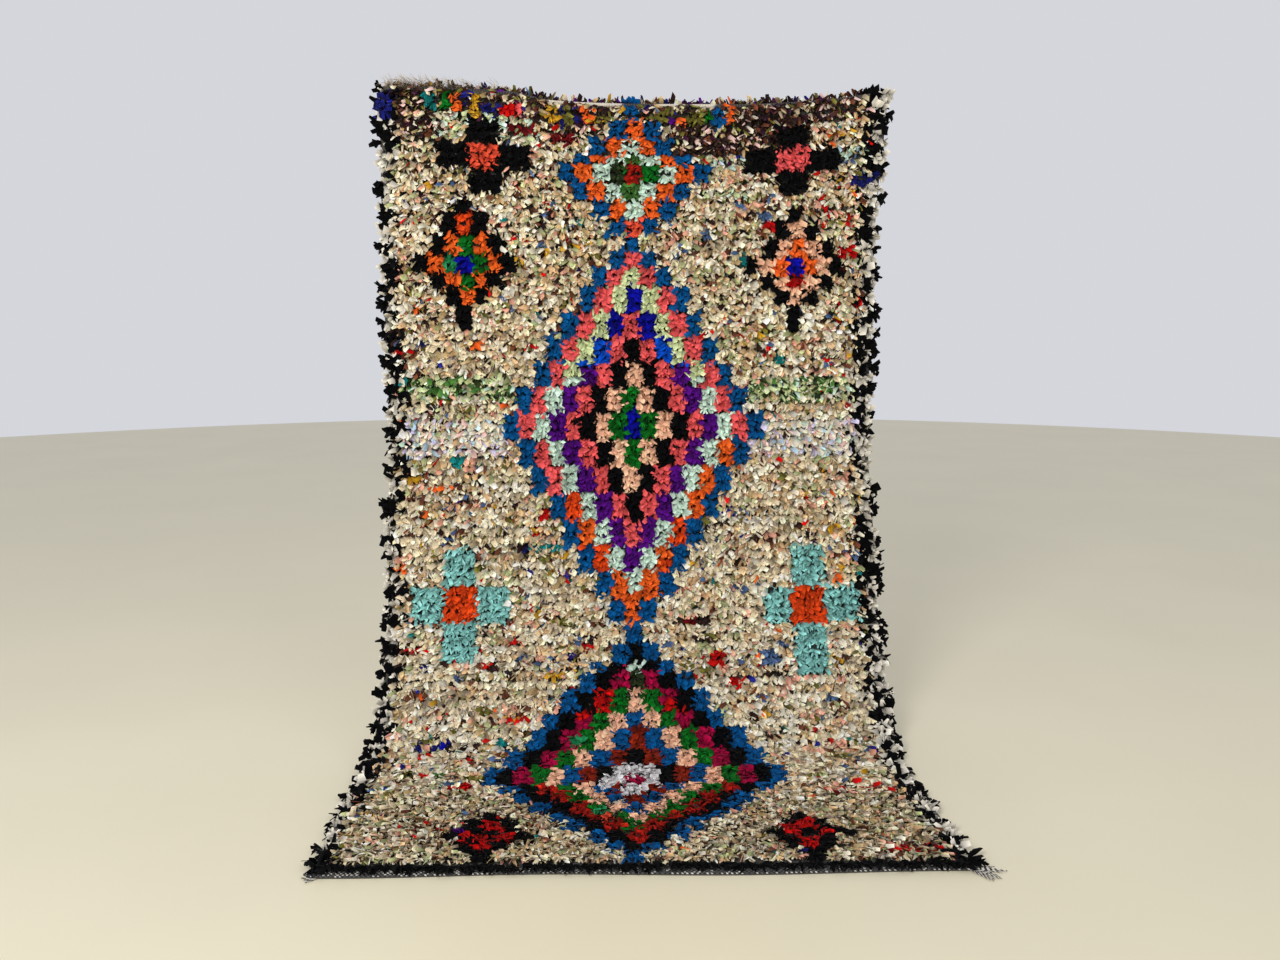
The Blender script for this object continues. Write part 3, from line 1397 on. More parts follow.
@dataclass(frozen=True)
class Pile:
    """The knotted rag pile, row over row, whose strips fan out from each knot and droop.

    Attributes:
        row_pitch: between rows of knots.
        knot_pitch: between knots of a row.
        per_knot: strips that one knot has.
        length: shortest and longest strip.
        pieces: how many pieces the pile is made in, from the flap to the foot.
        droop: how far the strips lean down the cloth, against how far they stand up.
        foot_droop: the same on the foot, where they have been brushed forwards.
        flap_droop: the same on the flap.
        crest_droop: the same along the crest.
        parting_droop: the same just under its bare line.
        rim_droop: the same in the last row of the foot.
        foot_start: how far under the straight part of the cloth the foot's droop starts.
        crest_reach: how far down from the crest the crest's droop reaches.
        flap_start: where down the cloth the flap's droop ends.
        parting_reach: how far down from the crest the bare line's droop reaches.
        rim_reach: how far from the front edge the last row's droop reaches.
        fan: how far the strips of a knot lean apart.
        fan_range: the least and the most that one strip does, against that.
        fan_stray: how far a strip strays from its place in the fan, in radians.
        flat_fan: how much of the fan there is down the cloth, against across it.
        side_fan: the same near the cloth's sides.
        side_reach: how far in from the sides that is.
        bend_down: how far the strips bend down the cloth, against away from their knot.
        fringe: how far the outermost strips lean outwards.
        fringe_reach: how far in from the sides they do.
        fringe_length: their least and most length, against the usual.
        white_fringe: the white ones' length, against that.
        finer: where down the cloth the strips grow finer, on the foot.
        finer_over: over what length they do.
        foot_finer: how much shorter and narrower they are there.
        top_reach: how far down from the crest they are a little finer too.
        top_fade: over what length that fades.
        top_finer: how much shorter and narrower they are there.
        border_reach: how far in from the sides the borders' broad strips reach.
        border_width: how broad those are, against the usual.
        border_finer: how much narrower they are on the foot.
        stray: how far a strip strays from its knot, across and down the cloth.
        rim: the least from a strip's root to the cloth's side or its front edge.
        parting: half the width of the bare line along the crest.
        tip_weight: how far a motif's edge follows the strips' tips and not their knots.
        knot_spread: how much the lightness differs from knot to knot.
    """

    row_pitch: float = 0.0208
    knot_pitch: float = 0.0170
    per_knot: int = 8
    length: tuple[float, float] = (0.025, 0.038)
    pieces: int = 5
    droop: float = 0.40
    foot_droop: float = 0.75
    flap_droop: float = 0.9
    crest_droop: float = 0.15
    parting_droop: float = 0.3
    rim_droop: float = 1.1
    foot_start: float = 0.3
    crest_reach: float = 0.012
    flap_start: float = -0.008
    parting_reach: float = 0.030
    rim_reach: float = 0.016
    fan: float = 0.60
    fan_range: tuple[float, float] = (0.15, 1.25)
    fan_stray: float = 0.5
    flat_fan: float = 0.6
    side_fan: float = 1.5
    side_reach: float = 0.030
    bend_down: float = 0.75
    fringe: float = 1.2
    fringe_reach: float = 0.022
    fringe_length: tuple[float, float] = (0.55, 0.90)
    white_fringe: float = 0.85
    finer: float = 1.69
    finer_over: float = 0.05
    foot_finer: tuple[float, float] = (0.05, 0.52)
    top_reach: float = 0.10
    top_fade: float = 0.25
    top_finer: tuple[float, float] = (0.06, 0.16)
    border_reach: float = 0.042
    border_width: float = 1.30
    border_finer: float = 0.40
    stray: tuple[float, float] = (0.0026, 0.0016)
    rim: float = 0.002
    parting: float = 0.006
    tip_weight: float = 1.0
    knot_spread: float = 0.08

    def knots(self, drape: Drape, draws: np.random.Generator) -> Knots:
        """Lays out the knots and shares out their strips.

        Args:
            drape: how the rug hangs.
            draws: the source of chances.

        Returns:
            The strips' knots.
        """
        count = round((drape.crest - drape.top) / self.row_pitch)
        rows = np.linspace(drape.top + 0.004, drape.crest - 0.005, count)
        columns = np.arange(-HALF_WIDTH + 0.004, HALF_WIDTH, self.knot_pitch)
        row, column = np.meshgrid(np.arange(len(rows)), np.arange(len(columns)), indexing="ij")
        row, column = row.ravel(), column.ravel()
        across = columns[column] + np.where(row % 2 == 0, 0.0, self.knot_pitch / 2)
        across = across + draws.normal(0.0, 0.0022, len(row))
        below = rows[row] + draws.normal(0.0, 0.0012, len(row))
        parted = (np.abs(below) < self.parting) & in_parting(across)
        kept = ~parted & (np.abs(across) < HALF_WIDTH)
        across, below, row = across[kept], below[kept], row[kept]
        knot = np.repeat(np.arange(len(row)), self.per_knot)
        return Knots(across[knot], below[knot], row[knot], knot, across[knot], below[knot])

    def lean(self, drape: Drape, knots: Knots) -> np.ndarray:
        """Finds how far each strip leans down the cloth, against how far it stands up.

        Args:
            drape: how the rug hangs.
            knots: where the strips are knotted.

        Returns:
            One number a strip.
        """
        below = knots.below
        laid = drape.crest - drape.swept + self.foot_start
        near_parting = in_parting(knots.across) & (below > 0.0) & (below < self.parting_reach)
        droops = (
            (near_parting, self.parting_droop),
            (below > drape.crest - self.rim_reach, self.rim_droop),
            (below < self.flap_start, self.flap_droop),
            (below < self.crest_reach, self.crest_droop),
            (below > laid, self.foot_droop),
        )
        where, droop = zip(*droops)
        return np.select(where, droop, self.droop)

    def fringed(self, across: np.ndarray) -> np.ndarray:
        """How far the strips near the sides lean outwards, to the right where it is above 0."""
        inward = HALF_WIDTH - np.abs(across)
        return np.sign(across) * self.fringe * np.clip(1.0 - inward / self.fringe_reach, 0.0, 1.0)

    def pointing(
        self, drape: Drape, knots: Knots, draws: np.random.Generator
    ) -> tuple[np.ndarray, np.ndarray]:
        """Finds how the strips point: they fan out from their knot and droop down the cloth.

        Args:
            drape: how the rug hangs.
            knots: where the strips are knotted.
            draws: the source of chances.

        Returns:
            Unit vectors along the strips, and square to their flat faces.
        """
        count = len(knots.knot)
        right, down, out = drape.directions(knots.below)
        number = np.arange(count) % self.per_knot
        spin = draws.uniform(0.0, math.tau, knots.knot.max() + 1)[knots.knot]
        stray = draws.normal(0.0, self.fan_stray, count)
        angle = spin + math.tau * number / self.per_knot * 2.0 + stray
        at_side = HALF_WIDTH - np.abs(knots.across) < self.side_reach
        upright = np.where(at_side, self.side_fan, self.flat_fan)
        radial = right * np.cos(angle)[:, None] + down * (upright * np.sin(angle))[:, None]
        fan = self.fan * draws.uniform(*self.fan_range, count)
        fringe = right * self.fringed(knots.across)[:, None]
        along = out + radial * fan[:, None] + down * self.lean(drape, knots)[:, None] + fringe
        along = unit(along)
        return along, -squared(radial + down * self.bend_down + fringe, along)

    def sizes(self, knots: Knots, draws: np.random.Generator) -> tuple[np.ndarray, np.ndarray]:
        """Draws the strips' lengths and works out how broad they are, against the usual.

        Args:
            knots: where the strips are knotted.
            draws: the source of chances.

        Returns:
            The lengths and the widths.
        """
        count = len(knots.knot)
        length = draws.uniform(*self.length, count)
        in_fringe = np.abs(self.fringed(knots.across)) > 0.5
        length = np.where(in_fringe, length * draws.uniform(*self.fringe_length, count), length)
        fine = ease((knots.below - self.finer) / self.finer_over)
        near_top = 1.0 - ease((knots.below - self.top_reach) / self.top_fade)
        length = length * (1.0 - self.foot_finer[0] * fine - self.top_finer[0] * near_top)
        wide = 1.0 - self.foot_finer[1] * fine - self.top_finer[1] * near_top
        in_border = HALF_WIDTH - np.abs(knots.across) < self.border_reach
        return length, np.where(in_border, self.border_width - self.border_finer * fine, wide)

    def scatter(self, drape: Drape, knots: Knots, draws: np.random.Generator) -> None:
        """Strays the strips from their knots, and keeps them on the cloth.

        Args:
            drape: how the rug hangs.
            knots: where the strips are knotted, changed here.
            draws: the source of chances.
        """
        count = len(knots.knot)
        side = HALF_WIDTH - self.rim
        across = knots.across + draws.normal(0.0, self.stray[0], count)
        below = knots.below + draws.normal(0.0, self.stray[1], count)
        knots.across = np.clip(across, -side, side)
        knots.below = np.clip(below, drape.top + self.rim / 2, drape.crest - self.rim)

    def strips(
        self, drape: Drape, chart: Chart, mesher: StripMesher, draws: np.random.Generator
    ) -> tuple[Strips, Knots]:
        """Makes every strip of the pile.

        Args:
            drape: how the rug hangs.
            chart: which rag each strip is torn from.
            mesher: knows the kinds of strip.
            draws: the source of chances.

        Returns:
            The strips and their knots.
        """
        knots = self.knots(drape, draws)
        count = len(knots.knot)
        right, down, _ = drape.directions(knots.below)
        in_fringe = self.fringed(knots.across) != 0.0
        along, face = self.pointing(drape, knots, draws)
        length, wide = self.sizes(knots, draws)
        kind = draws.integers(0, mesher.shapes.strips, count)
        self.scatter(drape, knots, draws)
        seen = mesher.seen[kind] * length[:, None] * self.tip_weight
        offset = np.cross(face, along) * seen[:, :1] + face * seen[:, 1:2] + along * seen[:, 2:]
        knots.seen_across = knots.across + np.sum(offset * right, axis=1)
        knots.seen_below = knots.below + np.sum(offset * down, axis=1)
        rags = chart.rags_at(knots, drape.crest, draws)
        shorter = (rags == NUMBER[Rag.WHITE]) & in_fringe
        length = np.where(shorter, length * self.white_fringe, length)
        light = np.exp(draws.normal(0.0, 1.0, count) * yarns_of(rags, "spread"))
        light = light * np.exp(draws.normal(0.0, self.knot_spread, knots.knot.max() + 1))[knots.knot]
        root = drape.place(knots.across, knots.below, np.full(count, ROOT_HEIGHT))
        return Strips(root, along, face, length, wide, kind, rags, light), knots

    def build(
        self, drape: Drape, chart: Chart, mesher: StripMesher, draws: np.random.Generator
    ) -> list[bpy.types.Object]:
        """Builds the pile's pieces.

        Args:
            drape: how the rug hangs.
            chart: which rag each strip is torn from.
            mesher: joins strips into meshes.
            draws: the source of chances.

        Returns:
            The pieces, from the flap to the foot.
        """
        strips, knots = self.strips(drape, chart, mesher, draws)
        order = np.argsort(knots.below, kind="stable")
        finish = RagFinish().material("rag_pile")
        made = []
        for number, part in enumerate(np.array_split(order, self.pieces), start=1):
            piece = mesher.mesh(f"pile_{number}", strips.some(part))
            piece.data.materials.append(finish)
            made.append(piece)
        return made


@dataclass(frozen=True)
class CrestFuzz:
    """Fine cream threads that stand up along the left of the crest.

    Attributes:
        left: where they start, across the cloth.
        right: where they end.
        count: how many there are.
        length: the shortest and the longest.
        aside: how far they lean to either side.
        cream: the share of cream ones, the rest being tan.
    """

    left: float = -0.570
    right: float = -0.300
    count: int = 460
    length: tuple[float, float] = (0.012, 0.036)
    aside: float = 0.55
    cream: float = 0.7

    def build(self, drape: Drape, mesher: StripMesher, draws: np.random.Generator) -> bpy.types.Object:
        """Builds the threads as one piece.

        Args:
            drape: how the rug hangs.
            mesher: joins strips into meshes.
            draws: the source of chances.

        Returns:
            The piece.
        """
        across = self.left + (self.right - self.left) * draws.beta(1.1, 1.9, self.count)
        below = draws.uniform(-0.010, 0.012, self.count)
        right, _, out = drape.directions(below)
        aside = draws.normal(0.0, self.aside, self.count)[:, None]
        along = unit(np.array([0.0, -0.1, 1.0]) + right * aside + out * 0.3)
        face = squared(right, along)
        length = draws.uniform(*self.length, self.count)
        kind = mesher.shapes.strips + draws.integers(0, mesher.shapes.threads, self.count)
        rag = np.where(draws.random(self.count) < self.cream, NUMBER[Rag.CREAM], NUMBER[Rag.TAN])
        root = drape.place(across, below, np.full(self.count, ROOT_HEIGHT))
        light = draws.uniform(0.8, 1.15, self.count)
        wide = np.ones(self.count)
        piece = mesher.mesh("crest_fuzz", Strips(root, along, face, length, wide, kind, rag, light))
        piece.data.materials.append(RagFinish().material("fine_threads"))
        return piece


@dataclass(frozen=True)
class Foundation:
    """The woven foundation that the knots sit in, a thin closed sheet, seen on the back.

    Attributes:
        columns: faces across.
        row_length: a face's length down the cloth.
        bare: how far from the crest the cloth shows pale in the pile's parting.
    """

    columns: int = 80
    row_length: float = 0.014
    bare: float = 0.005

    def build(self, drape: Drape, chart: Chart, draws: np.random.Generator) -> bpy.types.Object:
        """Builds the sheet and colours the backs of its knots.

        Args:
            drape: how the rug hangs.
            chart: which rag each knot is tied from.
            draws: the source of chances.

        Returns:
            The sheet.
        """
        rows = round((drape.crest - drape.top) / self.row_length)
        sheet = thin_sheet(self.columns, rows, FOUNDATION)
        flat = points_of(sheet)
        across = flat[:, 0] * 2.0 * (HALF_WIDTH - 0.001)
        below = drape.crest - 0.0005 - (flat[:, 1] + 0.5) * (drape.crest - drape.top - 0.001)
        move_points(sheet, drape.place(across, below, flat[:, 2]))
        row = np.rint((below - drape.top) / self.row_length).astype(int)
        row = np.maximum(row, 0)
        knots = Knots(across, below, row, np.arange(len(row)), across, below)
        rags = chart.rags_at(knots, drape.crest, draws)
        piece = finished(sheet, "foundation", 60.0)
        finish = FoundationFinish()
        bare = (np.abs(below) < self.bare) & in_parting(across)
        colour_points(piece.data, np.where(bare[:, None], linear(finish.wool), colours_of(rags)))
        depth = np.where(bare, 0.0, flat[:, 2])
        cloth = np.stack([across, below, depth], axis=1)
        weave = piece.data.attributes.new("weave", "FLOAT_VECTOR", "POINT")
        weave.data.foreach_set("vector", cloth.astype(np.float32).ravel())
        piece.data.materials.append(finish.material("foundation"))
        return piece


@dataclass(frozen=True)
class FoundationFinish:
    """Wool and cotton plain weave, with the backs of the knots showing between its wefts.

    Attributes:
        weft_pitch: between two rows of knots on the back.
        warp_pitch: between two knots of a row.
        wool: the foundation's own colour, 0 to 255.
        showing: how much of the knots' colour shows on the back.
        knot_edge: the heights of the weave at which a knot starts to show and shows fully.
        under_pile: how light the cloth is on its front, in among the roots of the pile.
        fibre_scale: fibres for each metre.
        tint: how dark and how light the fibres are.
        roughness: of the wool.
        sheen: strength of its fuzz.
        bump: the weave's height, in metres.
        bump_strength: how strongly it shows.
    """

    weft_pitch: float = 0.0165
    warp_pitch: float = 0.0062
    wool: tuple[int, int, int] = (206, 196, 178)
    showing: float = 0.75
    knot_edge: tuple[float, float] = (0.12, 0.35)
    under_pile: float = 0.12
    fibre_scale: float = 420.0
    tint: tuple[float, float] = (0.62, 1.25)
    roughness: float = 0.92
    sheen: float = 0.15
    bump: float = 0.0012
    bump_strength: float = 0.8

    def material(self, name: str) -> bpy.types.Material:
        """Builds the material, which follows the flat cloth.

        Args:
            name: the material's name.

        Returns:
            The new material.
        """
        made = Recipe(name, {"Roughness": self.roughness, "Sheen Weight": self.sheen})
        flat = made.attribute("weave", "Vector")
        parts = made.add("SeparateXYZ", {"Vector": flat}).node.outputs
        heights = []
        for axis, pitch in (("X", self.warp_pitch), ("Y", self.weft_pitch)):
            phase = made.math("MULTIPLY", parts[axis], math.tau / pitch)
            heights.append(made.mapped(made.math("SINE", phase), (-1.0, 1.0), (0.0, 1.0)))
        knot = made.math("MULTIPLY", *heights)
        seen = made.mapped(knot, self.knot_edge, (0.0, self.showing))
        tint = made.mapped(made.noise(flat, self.fibre_scale, 4.0), (0.0, 1.0), self.tint)
        ground = made.mixed(1.0, (*linear(self.wool), 1.0), tint, "MULTIPLY")
        mixed = made.mixed(seen, ground, made.attribute("rag"))
        depth = made.mapped(parts["Z"], (FOUNDATION * 0.3, FOUNDATION * 0.7), (1.0, self.under_pile))
        shaded = made.mixed(1.0, mixed, depth, "MULTIPLY")
        return made.finish(shaded, knot, self.bump_strength, self.bump)


class Wool(Enum):
    """The wools of the end band and the warp ends, with their colours in 0 to 255."""

    BLACK = (20, 20, 22)
    DARK = (26, 26, 28)
    PALE = (206, 200, 188)
    GREY = (84, 80, 76)


@dataclass(frozen=True)
class EndBand:
    """The twined band at the foot: rows of slanting stitches, black, grey and off-white.

    Attributes:
        depth: from the pile to the band's front edge.
        rows: rows of stitches.
        pitch: between stitches of a row.
        wander: how far the band's front edge strays.
        wanders_per_metre: how fast it does.
        ground: the thickness of the cloth under the stitches.
        stitch: a stitch's length, width and thickness.
        stitch_height: its middle over the band's back.
        slant: how far it slants, in radians, one way and the other in turn.
        pale: the chance that a stitch that isn't black is pale, the rest being grey.
        pale_left: how much more likely that is in the band's left part.
        pale_front: how much more likely it is in the front row of its right part.
    """

    depth: float = 0.015
    rows: int = 5
    pitch: float = 0.0042
    wander: float = 0.004
    wanders_per_metre: float = 9.0
    ground: float = 0.0022
    stitch: Place = (0.0066, 0.0036, 0.0026)
    stitch_height: float = 0.0028
    slant: float = 0.62
    pale: float = 0.12
    pale_left: float = 0.30
    pale_front: float = 0.5

    def ahead(self, across: np.ndarray, share: np.ndarray) -> np.ndarray:
        """How far in front of the foot's edge a share of the band's depth lies."""
        stray = self.wander * share * (1.0 + np.sin(self.wanders_per_metre * across))
        return share * self.depth + stray

    def cloth(self, drape: Drape) -> bpy.types.Object:
        """Builds the band's thin closed ground.

        Args:
            drape: how the rug hangs.

        Returns:
            The band's ground.
        """
        band = thin_sheet(60, 3, self.ground)
        flat = points_of(band)
        across = flat[:, 0] * 2.0 * HALF_WIDTH
        below = drape.crest + self.ahead(across, 0.5 - flat[:, 1])
        move_points(band, drape.place(across, below, flat[:, 2]))
        return finished(band, "band_ground")

    def stitches(self, drape: Drape, draws: np.random.Generator) -> bpy.types.Object:
        """Builds the stitches, joined from one small closed shape.

        Args:
            drape: how the rug hangs.
            draws: the source of chances.

        Returns:
            The joined stitches.
        """
        bead = bmesh.new()
        bmesh.ops.create_icosphere(bead, subdivisions=1, radius=0.5)
        faces, points = corners_of(bead), points_of(bead)
        bead.free()
        columns = np.arange(-HALF_WIDTH + 0.003, HALF_WIDTH - 0.002, self.pitch)
        row, column = np.meshgrid(np.arange(self.rows), np.arange(len(columns)), indexing="ij")
        row, column = row.ravel(), column.ravel()
        count = len(row)
        across = columns[column] + draws.normal(0.0, 0.0004, count)
        below = drape.crest + self.ahead(across, (row + 0.5) / self.rows)
        slant = np.where(row % 2 == 0, self.slant, -self.slant) + draws.normal(0.0, 0.12, count)
        right, down, out = drape.directions(below)
        long_way = unit(right * np.cos(slant)[:, None] + down * np.sin(slant)[:, None])
        size = np.array(self.stitch) * draws.uniform(0.85, 1.12, (count, 1))
        root = drape.place(across, below, np.full(count, self.stitch_height))
        axes = [long_way, np.cross(out, long_way), out]
        mesh = joined("band_stitches", carried(points[None] * size[:, None, :], axes, root), faces)
        mesh.shade_smooth()
        tones = linear([wool.value for wool in (Wool.BLACK, Wool.PALE, Wool.GREY)])
        at_front = (row == self.rows - 1) & (across > -0.1)
        pale = self.pale + self.pale_left * (across < -0.1) + self.pale_front * at_front
        tone = np.where((column + row) % 2 == 0, 0, np.where(draws.random(count) < pale, 1, 2))
        colours = tones[tone] * draws.uniform(0.7, 1.1, (count, 1))
        colour_points(mesh, np.repeat(colours, len(points), axis=0))
        return placed("band_stitches", mesh)


@dataclass(frozen=True)
class YarnFinish:
    """Twined wool yarn: matt, with fine fibres, in its own attribute's colour or in one colour.

    Attributes:
        colour: its one colour, 0 to 255.
        own_colours: whether each point's own colour takes that colour's place.
        roughness: of the wool.
        sheen: strength of its fuzz.
        fibre_scale: fibres for each metre.
        tint: how dark and how light the fibres are.
        bump: the fibres' height, in metres.
        bump_strength: how strongly they show.
    """

    colour: tuple[int, int, int] = (60, 57, 52)
    own_colours: bool = False
    roughness: float = 0.9
    sheen: float = 0.2
    fibre_scale: float = 700.0
    tint: tuple[float, float] = (0.6, 1.3)
    bump: float = 0.0004
    bump_strength: float = 0.5

    def material(self, name: str) -> bpy.types.Material:
        """Builds the material.

        Args:
            name: the material's name.

        Returns:
            The new material.
        """
        made = Recipe(name, {"Roughness": self.roughness, "Sheen Weight": self.sheen})
        fibre = made.noise(made.place(), self.fibre_scale, 3.0)
        tint = made.mapped(fibre, (0.0, 1.0), self.tint)
        colour = made.attribute("rag") if self.own_colours else (*linear(self.colour), 1.0)
        toned = made.mixed(1.0, colour, tint, "MULTIPLY")
        return made.finish(toned, fibre, self.bump_strength, self.bump)


@dataclass(frozen=True)
class Tassel:
    """Warp ends that leave one corner of the foot, each a two-ply twist that thins to its tip.

    Attributes:
        name: the piece's name.
        side: 1 at the right corner, -1 at the left.
        ends: how many warp ends.
        shortest: the shortest end.
        longest: the longest end.
        first: the first end's direction, in degrees from straight ahead.
        last: the last end's direction.
        steps: rings of points along an end.
        ply_radius: radius of one ply.
        twists_per_metre: how tightly the plies turn round each other.
    """

    name: str
    side: int
    ends: int
    shortest: float
    longest: float
    first: float
    last: float
    steps: int = 12
    ply_radius: float = 0.0011
    twists_per_metre: float = 110.0

    def ply(
        self,
        tassel: bmesh.types.BMesh,
        start: np.ndarray,
        heading: np.ndarray,
        length: float,
        phase: float,
        bend: float,
    ) -> list[bmesh.types.BMVert]:
        """Sweeps one ply of one warp end.

        Args:
            tassel: the mesh that takes the ply.
            start: where the end leaves the band.
            heading: its direction on the floor.
            length: its length.
            phase: where on its turn the ply starts, in radians.
            bend: how far the end strays sideways at its tip.

        Returns:
            The ply's points.
        """
        side = np.array([-heading[1], heading[0], 0.0])
        ring = bmesh.ops.create_circle(tassel, cap_ends=True, segments=5, radius=self.ply_radius)["verts"]
        turn = Vector((0.0, 0.0, 1.0)).rotation_difference(Vector(heading)).to_matrix()
        bmesh.ops.rotate(tassel, verts=ring, matrix=turn)
        cap = ring[0].link_faces[0]
        centres = []
        for step in range(self.steps + 1):
            share = step / self.steps
            angle = phase + math.tau * self.twists_per_metre * length * share
            wind = self.ply_radius * 0.9 * (1.0 - 0.4 * share)
            centre = start + heading * length * share + side * bend * share * share
            centre = centre + side * wind * math.cos(angle)
            centre[2] = self.ply_radius * 2.1 + wind * math.sin(angle)
            centres.append(centre)
        points = list(ring)
        bmesh.ops.translate(tassel, verts=ring, vec=Vector(centres[0]))
        for step in range(1, self.steps + 1):
            moved = bmesh.ops.extrude_face_region(tassel, geom=[cap])["geom"]
            cap = next(item for item in moved if isinstance(item, bmesh.types.BMFace))
            bmesh.ops.translate(tassel, verts=cap.verts, vec=Vector(centres[step] - centres[step - 1]))
            middle = cap.calc_center_median()
            for vert in cap.verts:
                vert.co = middle + (vert.co - middle) * 0.95
            points += list(cap.verts)
        return points

    def build(self, drape: Drape, band: EndBand, draws: np.random.Generator) -> bpy.types.Object:
        """Builds the corner's warp ends as one piece.

        Args:
            drape: how the rug hangs.
            band: the band that they leave.
            draws: the source of chances.

        Returns:
            The piece.
        """
        tassel = bmesh.new()
        tones = tassel.verts.layers.float_color.new("rag")
        for end in range(self.ends):
            share = end / (self.ends - 1)
            angle = math.radians(self.first + share * (self.last - self.first))
            heading = np.array([self.side * math.sin(angle), -math.cos(angle), 0.0])
            across = np.array([self.side * (HALF_WIDTH - 0.030 * max(0.0, 0.5 - share) - 0.002)])
            ahead = band.ahead(across, np.array([1.0 - 0.8 * max(0.0, share - 0.4)]))
            start = drape.place(across, drape.crest + ahead, np.array([0.0]))[0]
            length = draws.uniform(self.shortest, self.longest)
            bend = draws.uniform(-0.012, 0.012) * length / self.longest
            for phase, wool in ((0.0, Wool.DARK), (math.pi, Wool.PALE)):
                tone = (*(linear(wool.value) * draws.uniform(0.8, 1.15)), 1.0)
                for vert in self.ply(tassel, start, heading, length, phase, bend):
                    vert[tones] = tone
        bmesh.ops.recalc_face_normals(tassel, faces=tassel.faces[:])
        return finished(tassel, self.name)


TASSELS = (
    Tassel("tassel_right", 1, 14, 0.030, 0.050, 30.0, 88.0),
    Tassel("tassel_left", -1, 8, 0.008, 0.019, 35.0, 100.0),
)


@dataclass(frozen=True)
class Lamp:
    """One soft square light.

    Attributes:
        name: its name.
        place: where it is.
        aim: the point that it faces.
        size: the length of its side.
        power: its power in watts.
    """

    name: str
    place: Place
    aim: Place
    size: float
    power: float

    def build(self) -> None:
        """Adds the light to the scene."""
        data = bpy.data.lights.new(self.name, "AREA")
        data.shape = "SQUARE"
        data.size = self.size
        data.energy = self.power
        lamp = placed(self.name, data)
        lamp.location = self.place
        turned = Vector(self.aim) - Vector(self.place)
        lamp.rotation_euler = turned.to_track_quat("-Z", "Y").to_euler()


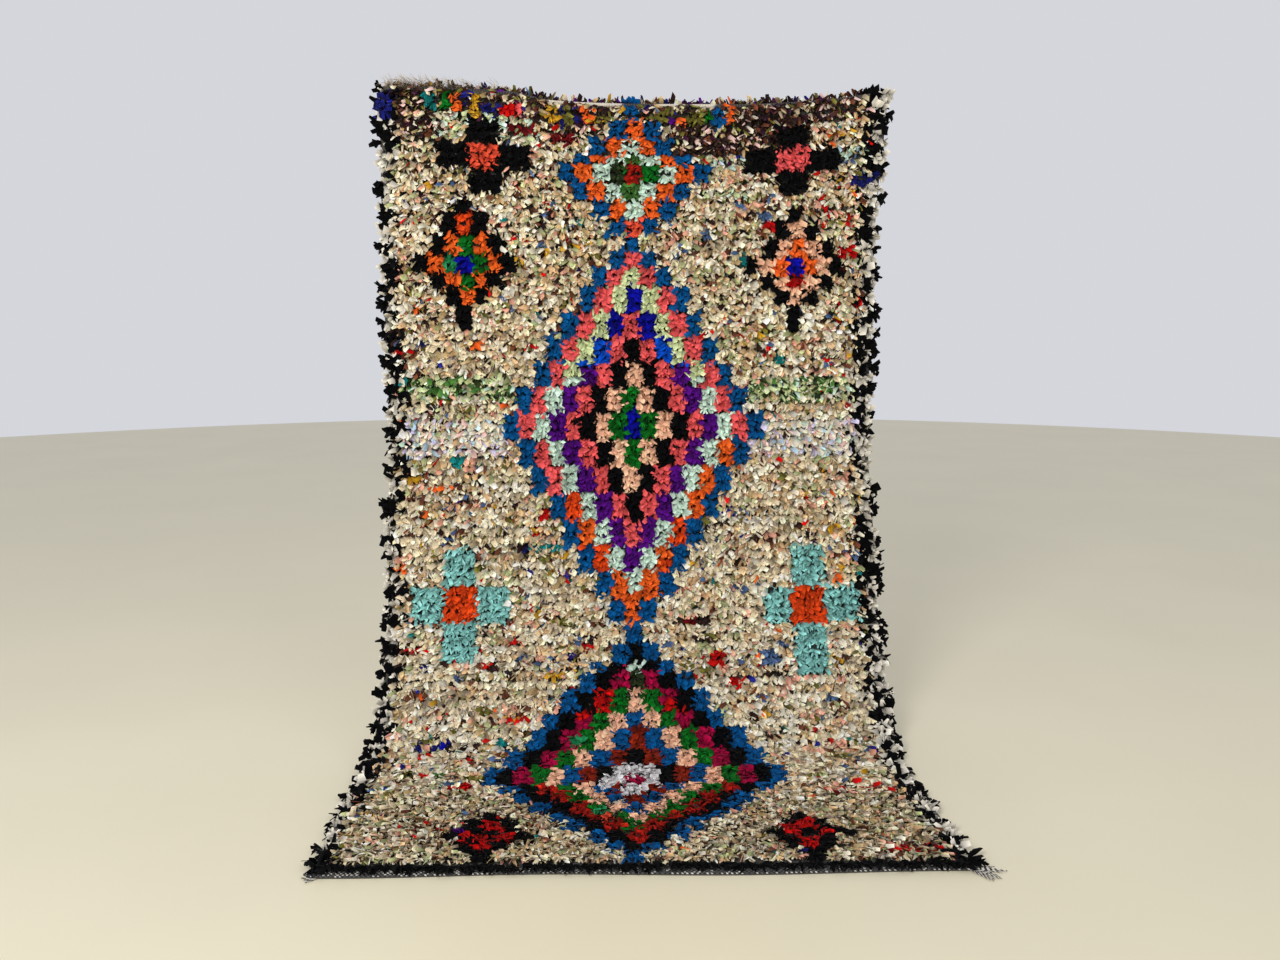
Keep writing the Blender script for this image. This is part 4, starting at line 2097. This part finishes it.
@dataclass(frozen=True)
class Studio:
    """The pale floor, the soft lights and the camera at the photograph's place.

    Attributes:
        camera_place: where the camera is.
        camera_yaw: how far it is turned to the right, in degrees.
        camera_pitch: how far it is tilted up, in degrees.
        lens: its focal length in millimetres.
        floor_colour: the floor's colour, 0 to 255.
        floor_tones: its darkest and lightest clouds, against that.
        floor_roughness: of its surface.
        floor_radius: of its round sheet.
        floor_gap: how far it lies under the rug, so that the two don't coincide.
        sky_colour: the colour of the light from all round, 0 to 255.
        sky_strength: its strength.
        lamps: the soft lights.
    """

    camera_place: Place = (-0.1174, -1.9256, 0.9578)
    camera_yaw: float = 3.5095
    camera_pitch: float = -8.7808
    lens: float = 27.06
    floor_colour: tuple[int, int, int] = (220, 211, 183)
    floor_tones: tuple[float, float] = (0.94, 1.05)
    floor_roughness: float = 0.45
    floor_radius: float = 9.0
    floor_gap: float = 0.0004
    sky_colour: tuple[int, int, int] = (214, 216, 222)
    sky_strength: float = 0.98
    lamps: tuple[Lamp, ...] = (
        Lamp("key", (-1.6, -2.8, 2.5), (0.0, 0.1, 0.5), 1.2, 95.0),
        Lamp("fill", (2.4, -2.0, 1.8), (0.0, 0.1, 0.6), 2.2, 12.0),
    )

    def camera(self) -> None:
        """Adds the camera and makes it the scene's own."""
        data = bpy.data.cameras.new("camera")
        data.lens = self.lens
        data.sensor_width = 36.0
        data.clip_start = 0.01
        camera = placed("camera", data)
        camera.location = self.camera_place
        camera.rotation_euler = (math.radians(90.0 + self.camera_pitch), 0.0, -math.radians(self.camera_yaw))
        bpy.context.scene.camera = camera

    def floor(self) -> None:
        """Adds the floor, a wide rounded sheet with a soft, slightly uneven finish."""
        sheet = bmesh.new()
        bmesh.ops.create_circle(sheet, cap_ends=True, segments=96, radius=self.floor_radius)
        piece = finished(sheet, "floor")
        piece.location = (0.0, 0.0, -self.floor_gap)
        made = Recipe("floor", {"Roughness": self.floor_roughness})
        clouds = made.noise(made.place(), 1.6, 5.0)
        base = linear(self.floor_colour)
        tones = [(*np.minimum(base * tone, 1.0), 1.0) for tone in self.floor_tones]
        made.feed(made.shader, {"Base Color": made.mixed(clouds, *tones)})
        piece.data.materials.append(made.material)

    def build(self) -> None:
        """Adds the floor, the sky light and the lamps."""
        world = bpy.data.worlds.new("studio")
        world.use_nodes = True
        background = world.node_tree.nodes["Background"]
        background.inputs["Color"].default_value = (*linear(self.sky_colour), 1.0)
        background.inputs["Strength"].default_value = self.sky_strength
        bpy.context.scene.world = world
        self.floor()
        for lamp in self.lamps:
            lamp.build()


def corners(bounds: tuple[Vector, Vector]) -> list[list[float]]:
    """A box as plain lists of numbers."""
    return [list(corner) for corner in bounds]


def main() -> None:
    """Builds the rug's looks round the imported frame, and reports each piece."""
    logging.basicConfig(level=logging.INFO, format="%(name)s: %(message)s")
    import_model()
    studio = Studio()
    studio.camera()
    draws = np.random.default_rng(RUG_SEED)
    drape, chart, band = Drape(), Chart(), EndBand()
    mesher = StripMesher(StripShapes(), draws)

    foundation = Foundation().build(drape, chart, draws)
    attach(foundation, BODY)
    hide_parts("rug_field", "edge_left", "edge_right")
    LOG.info("foundation: %d faces", len(foundation.data.polygons))

    pile = Pile().build(drape, chart, mesher, draws)
    for piece in pile:
        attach(piece, BODY)
        LOG.info("%s: %d faces", piece.name, len(piece.data.polygons))

    fuzz = CrestFuzz().build(drape, mesher, draws)
    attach(fuzz, BODY)

    ground = band.cloth(drape)
    ground.data.materials.append(YarnFinish().material("band_wool"))
    stitches = band.stitches(drape, draws)
    twined = YarnFinish(own_colours=True).material("twined_yarn")
    stitches.data.materials.append(twined)
    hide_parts("end_band")
    tassels = [tassel.build(drape, band, draws) for tassel in TASSELS]
    for tassel in tassels:
        tassel.data.materials.append(twined)
    for piece in (ground, stitches, *tassels):
        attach(piece, BODY)
        LOG.info("%s: %d faces", piece.name, len(piece.data.polygons))

    cut = (2.0 * HALF_WIDTH, drape.crest - drape.top)
    studio.build()
    bpy.context.scene.view_settings.view_transform = "Standard"


if __name__ == "__main__":
    main()
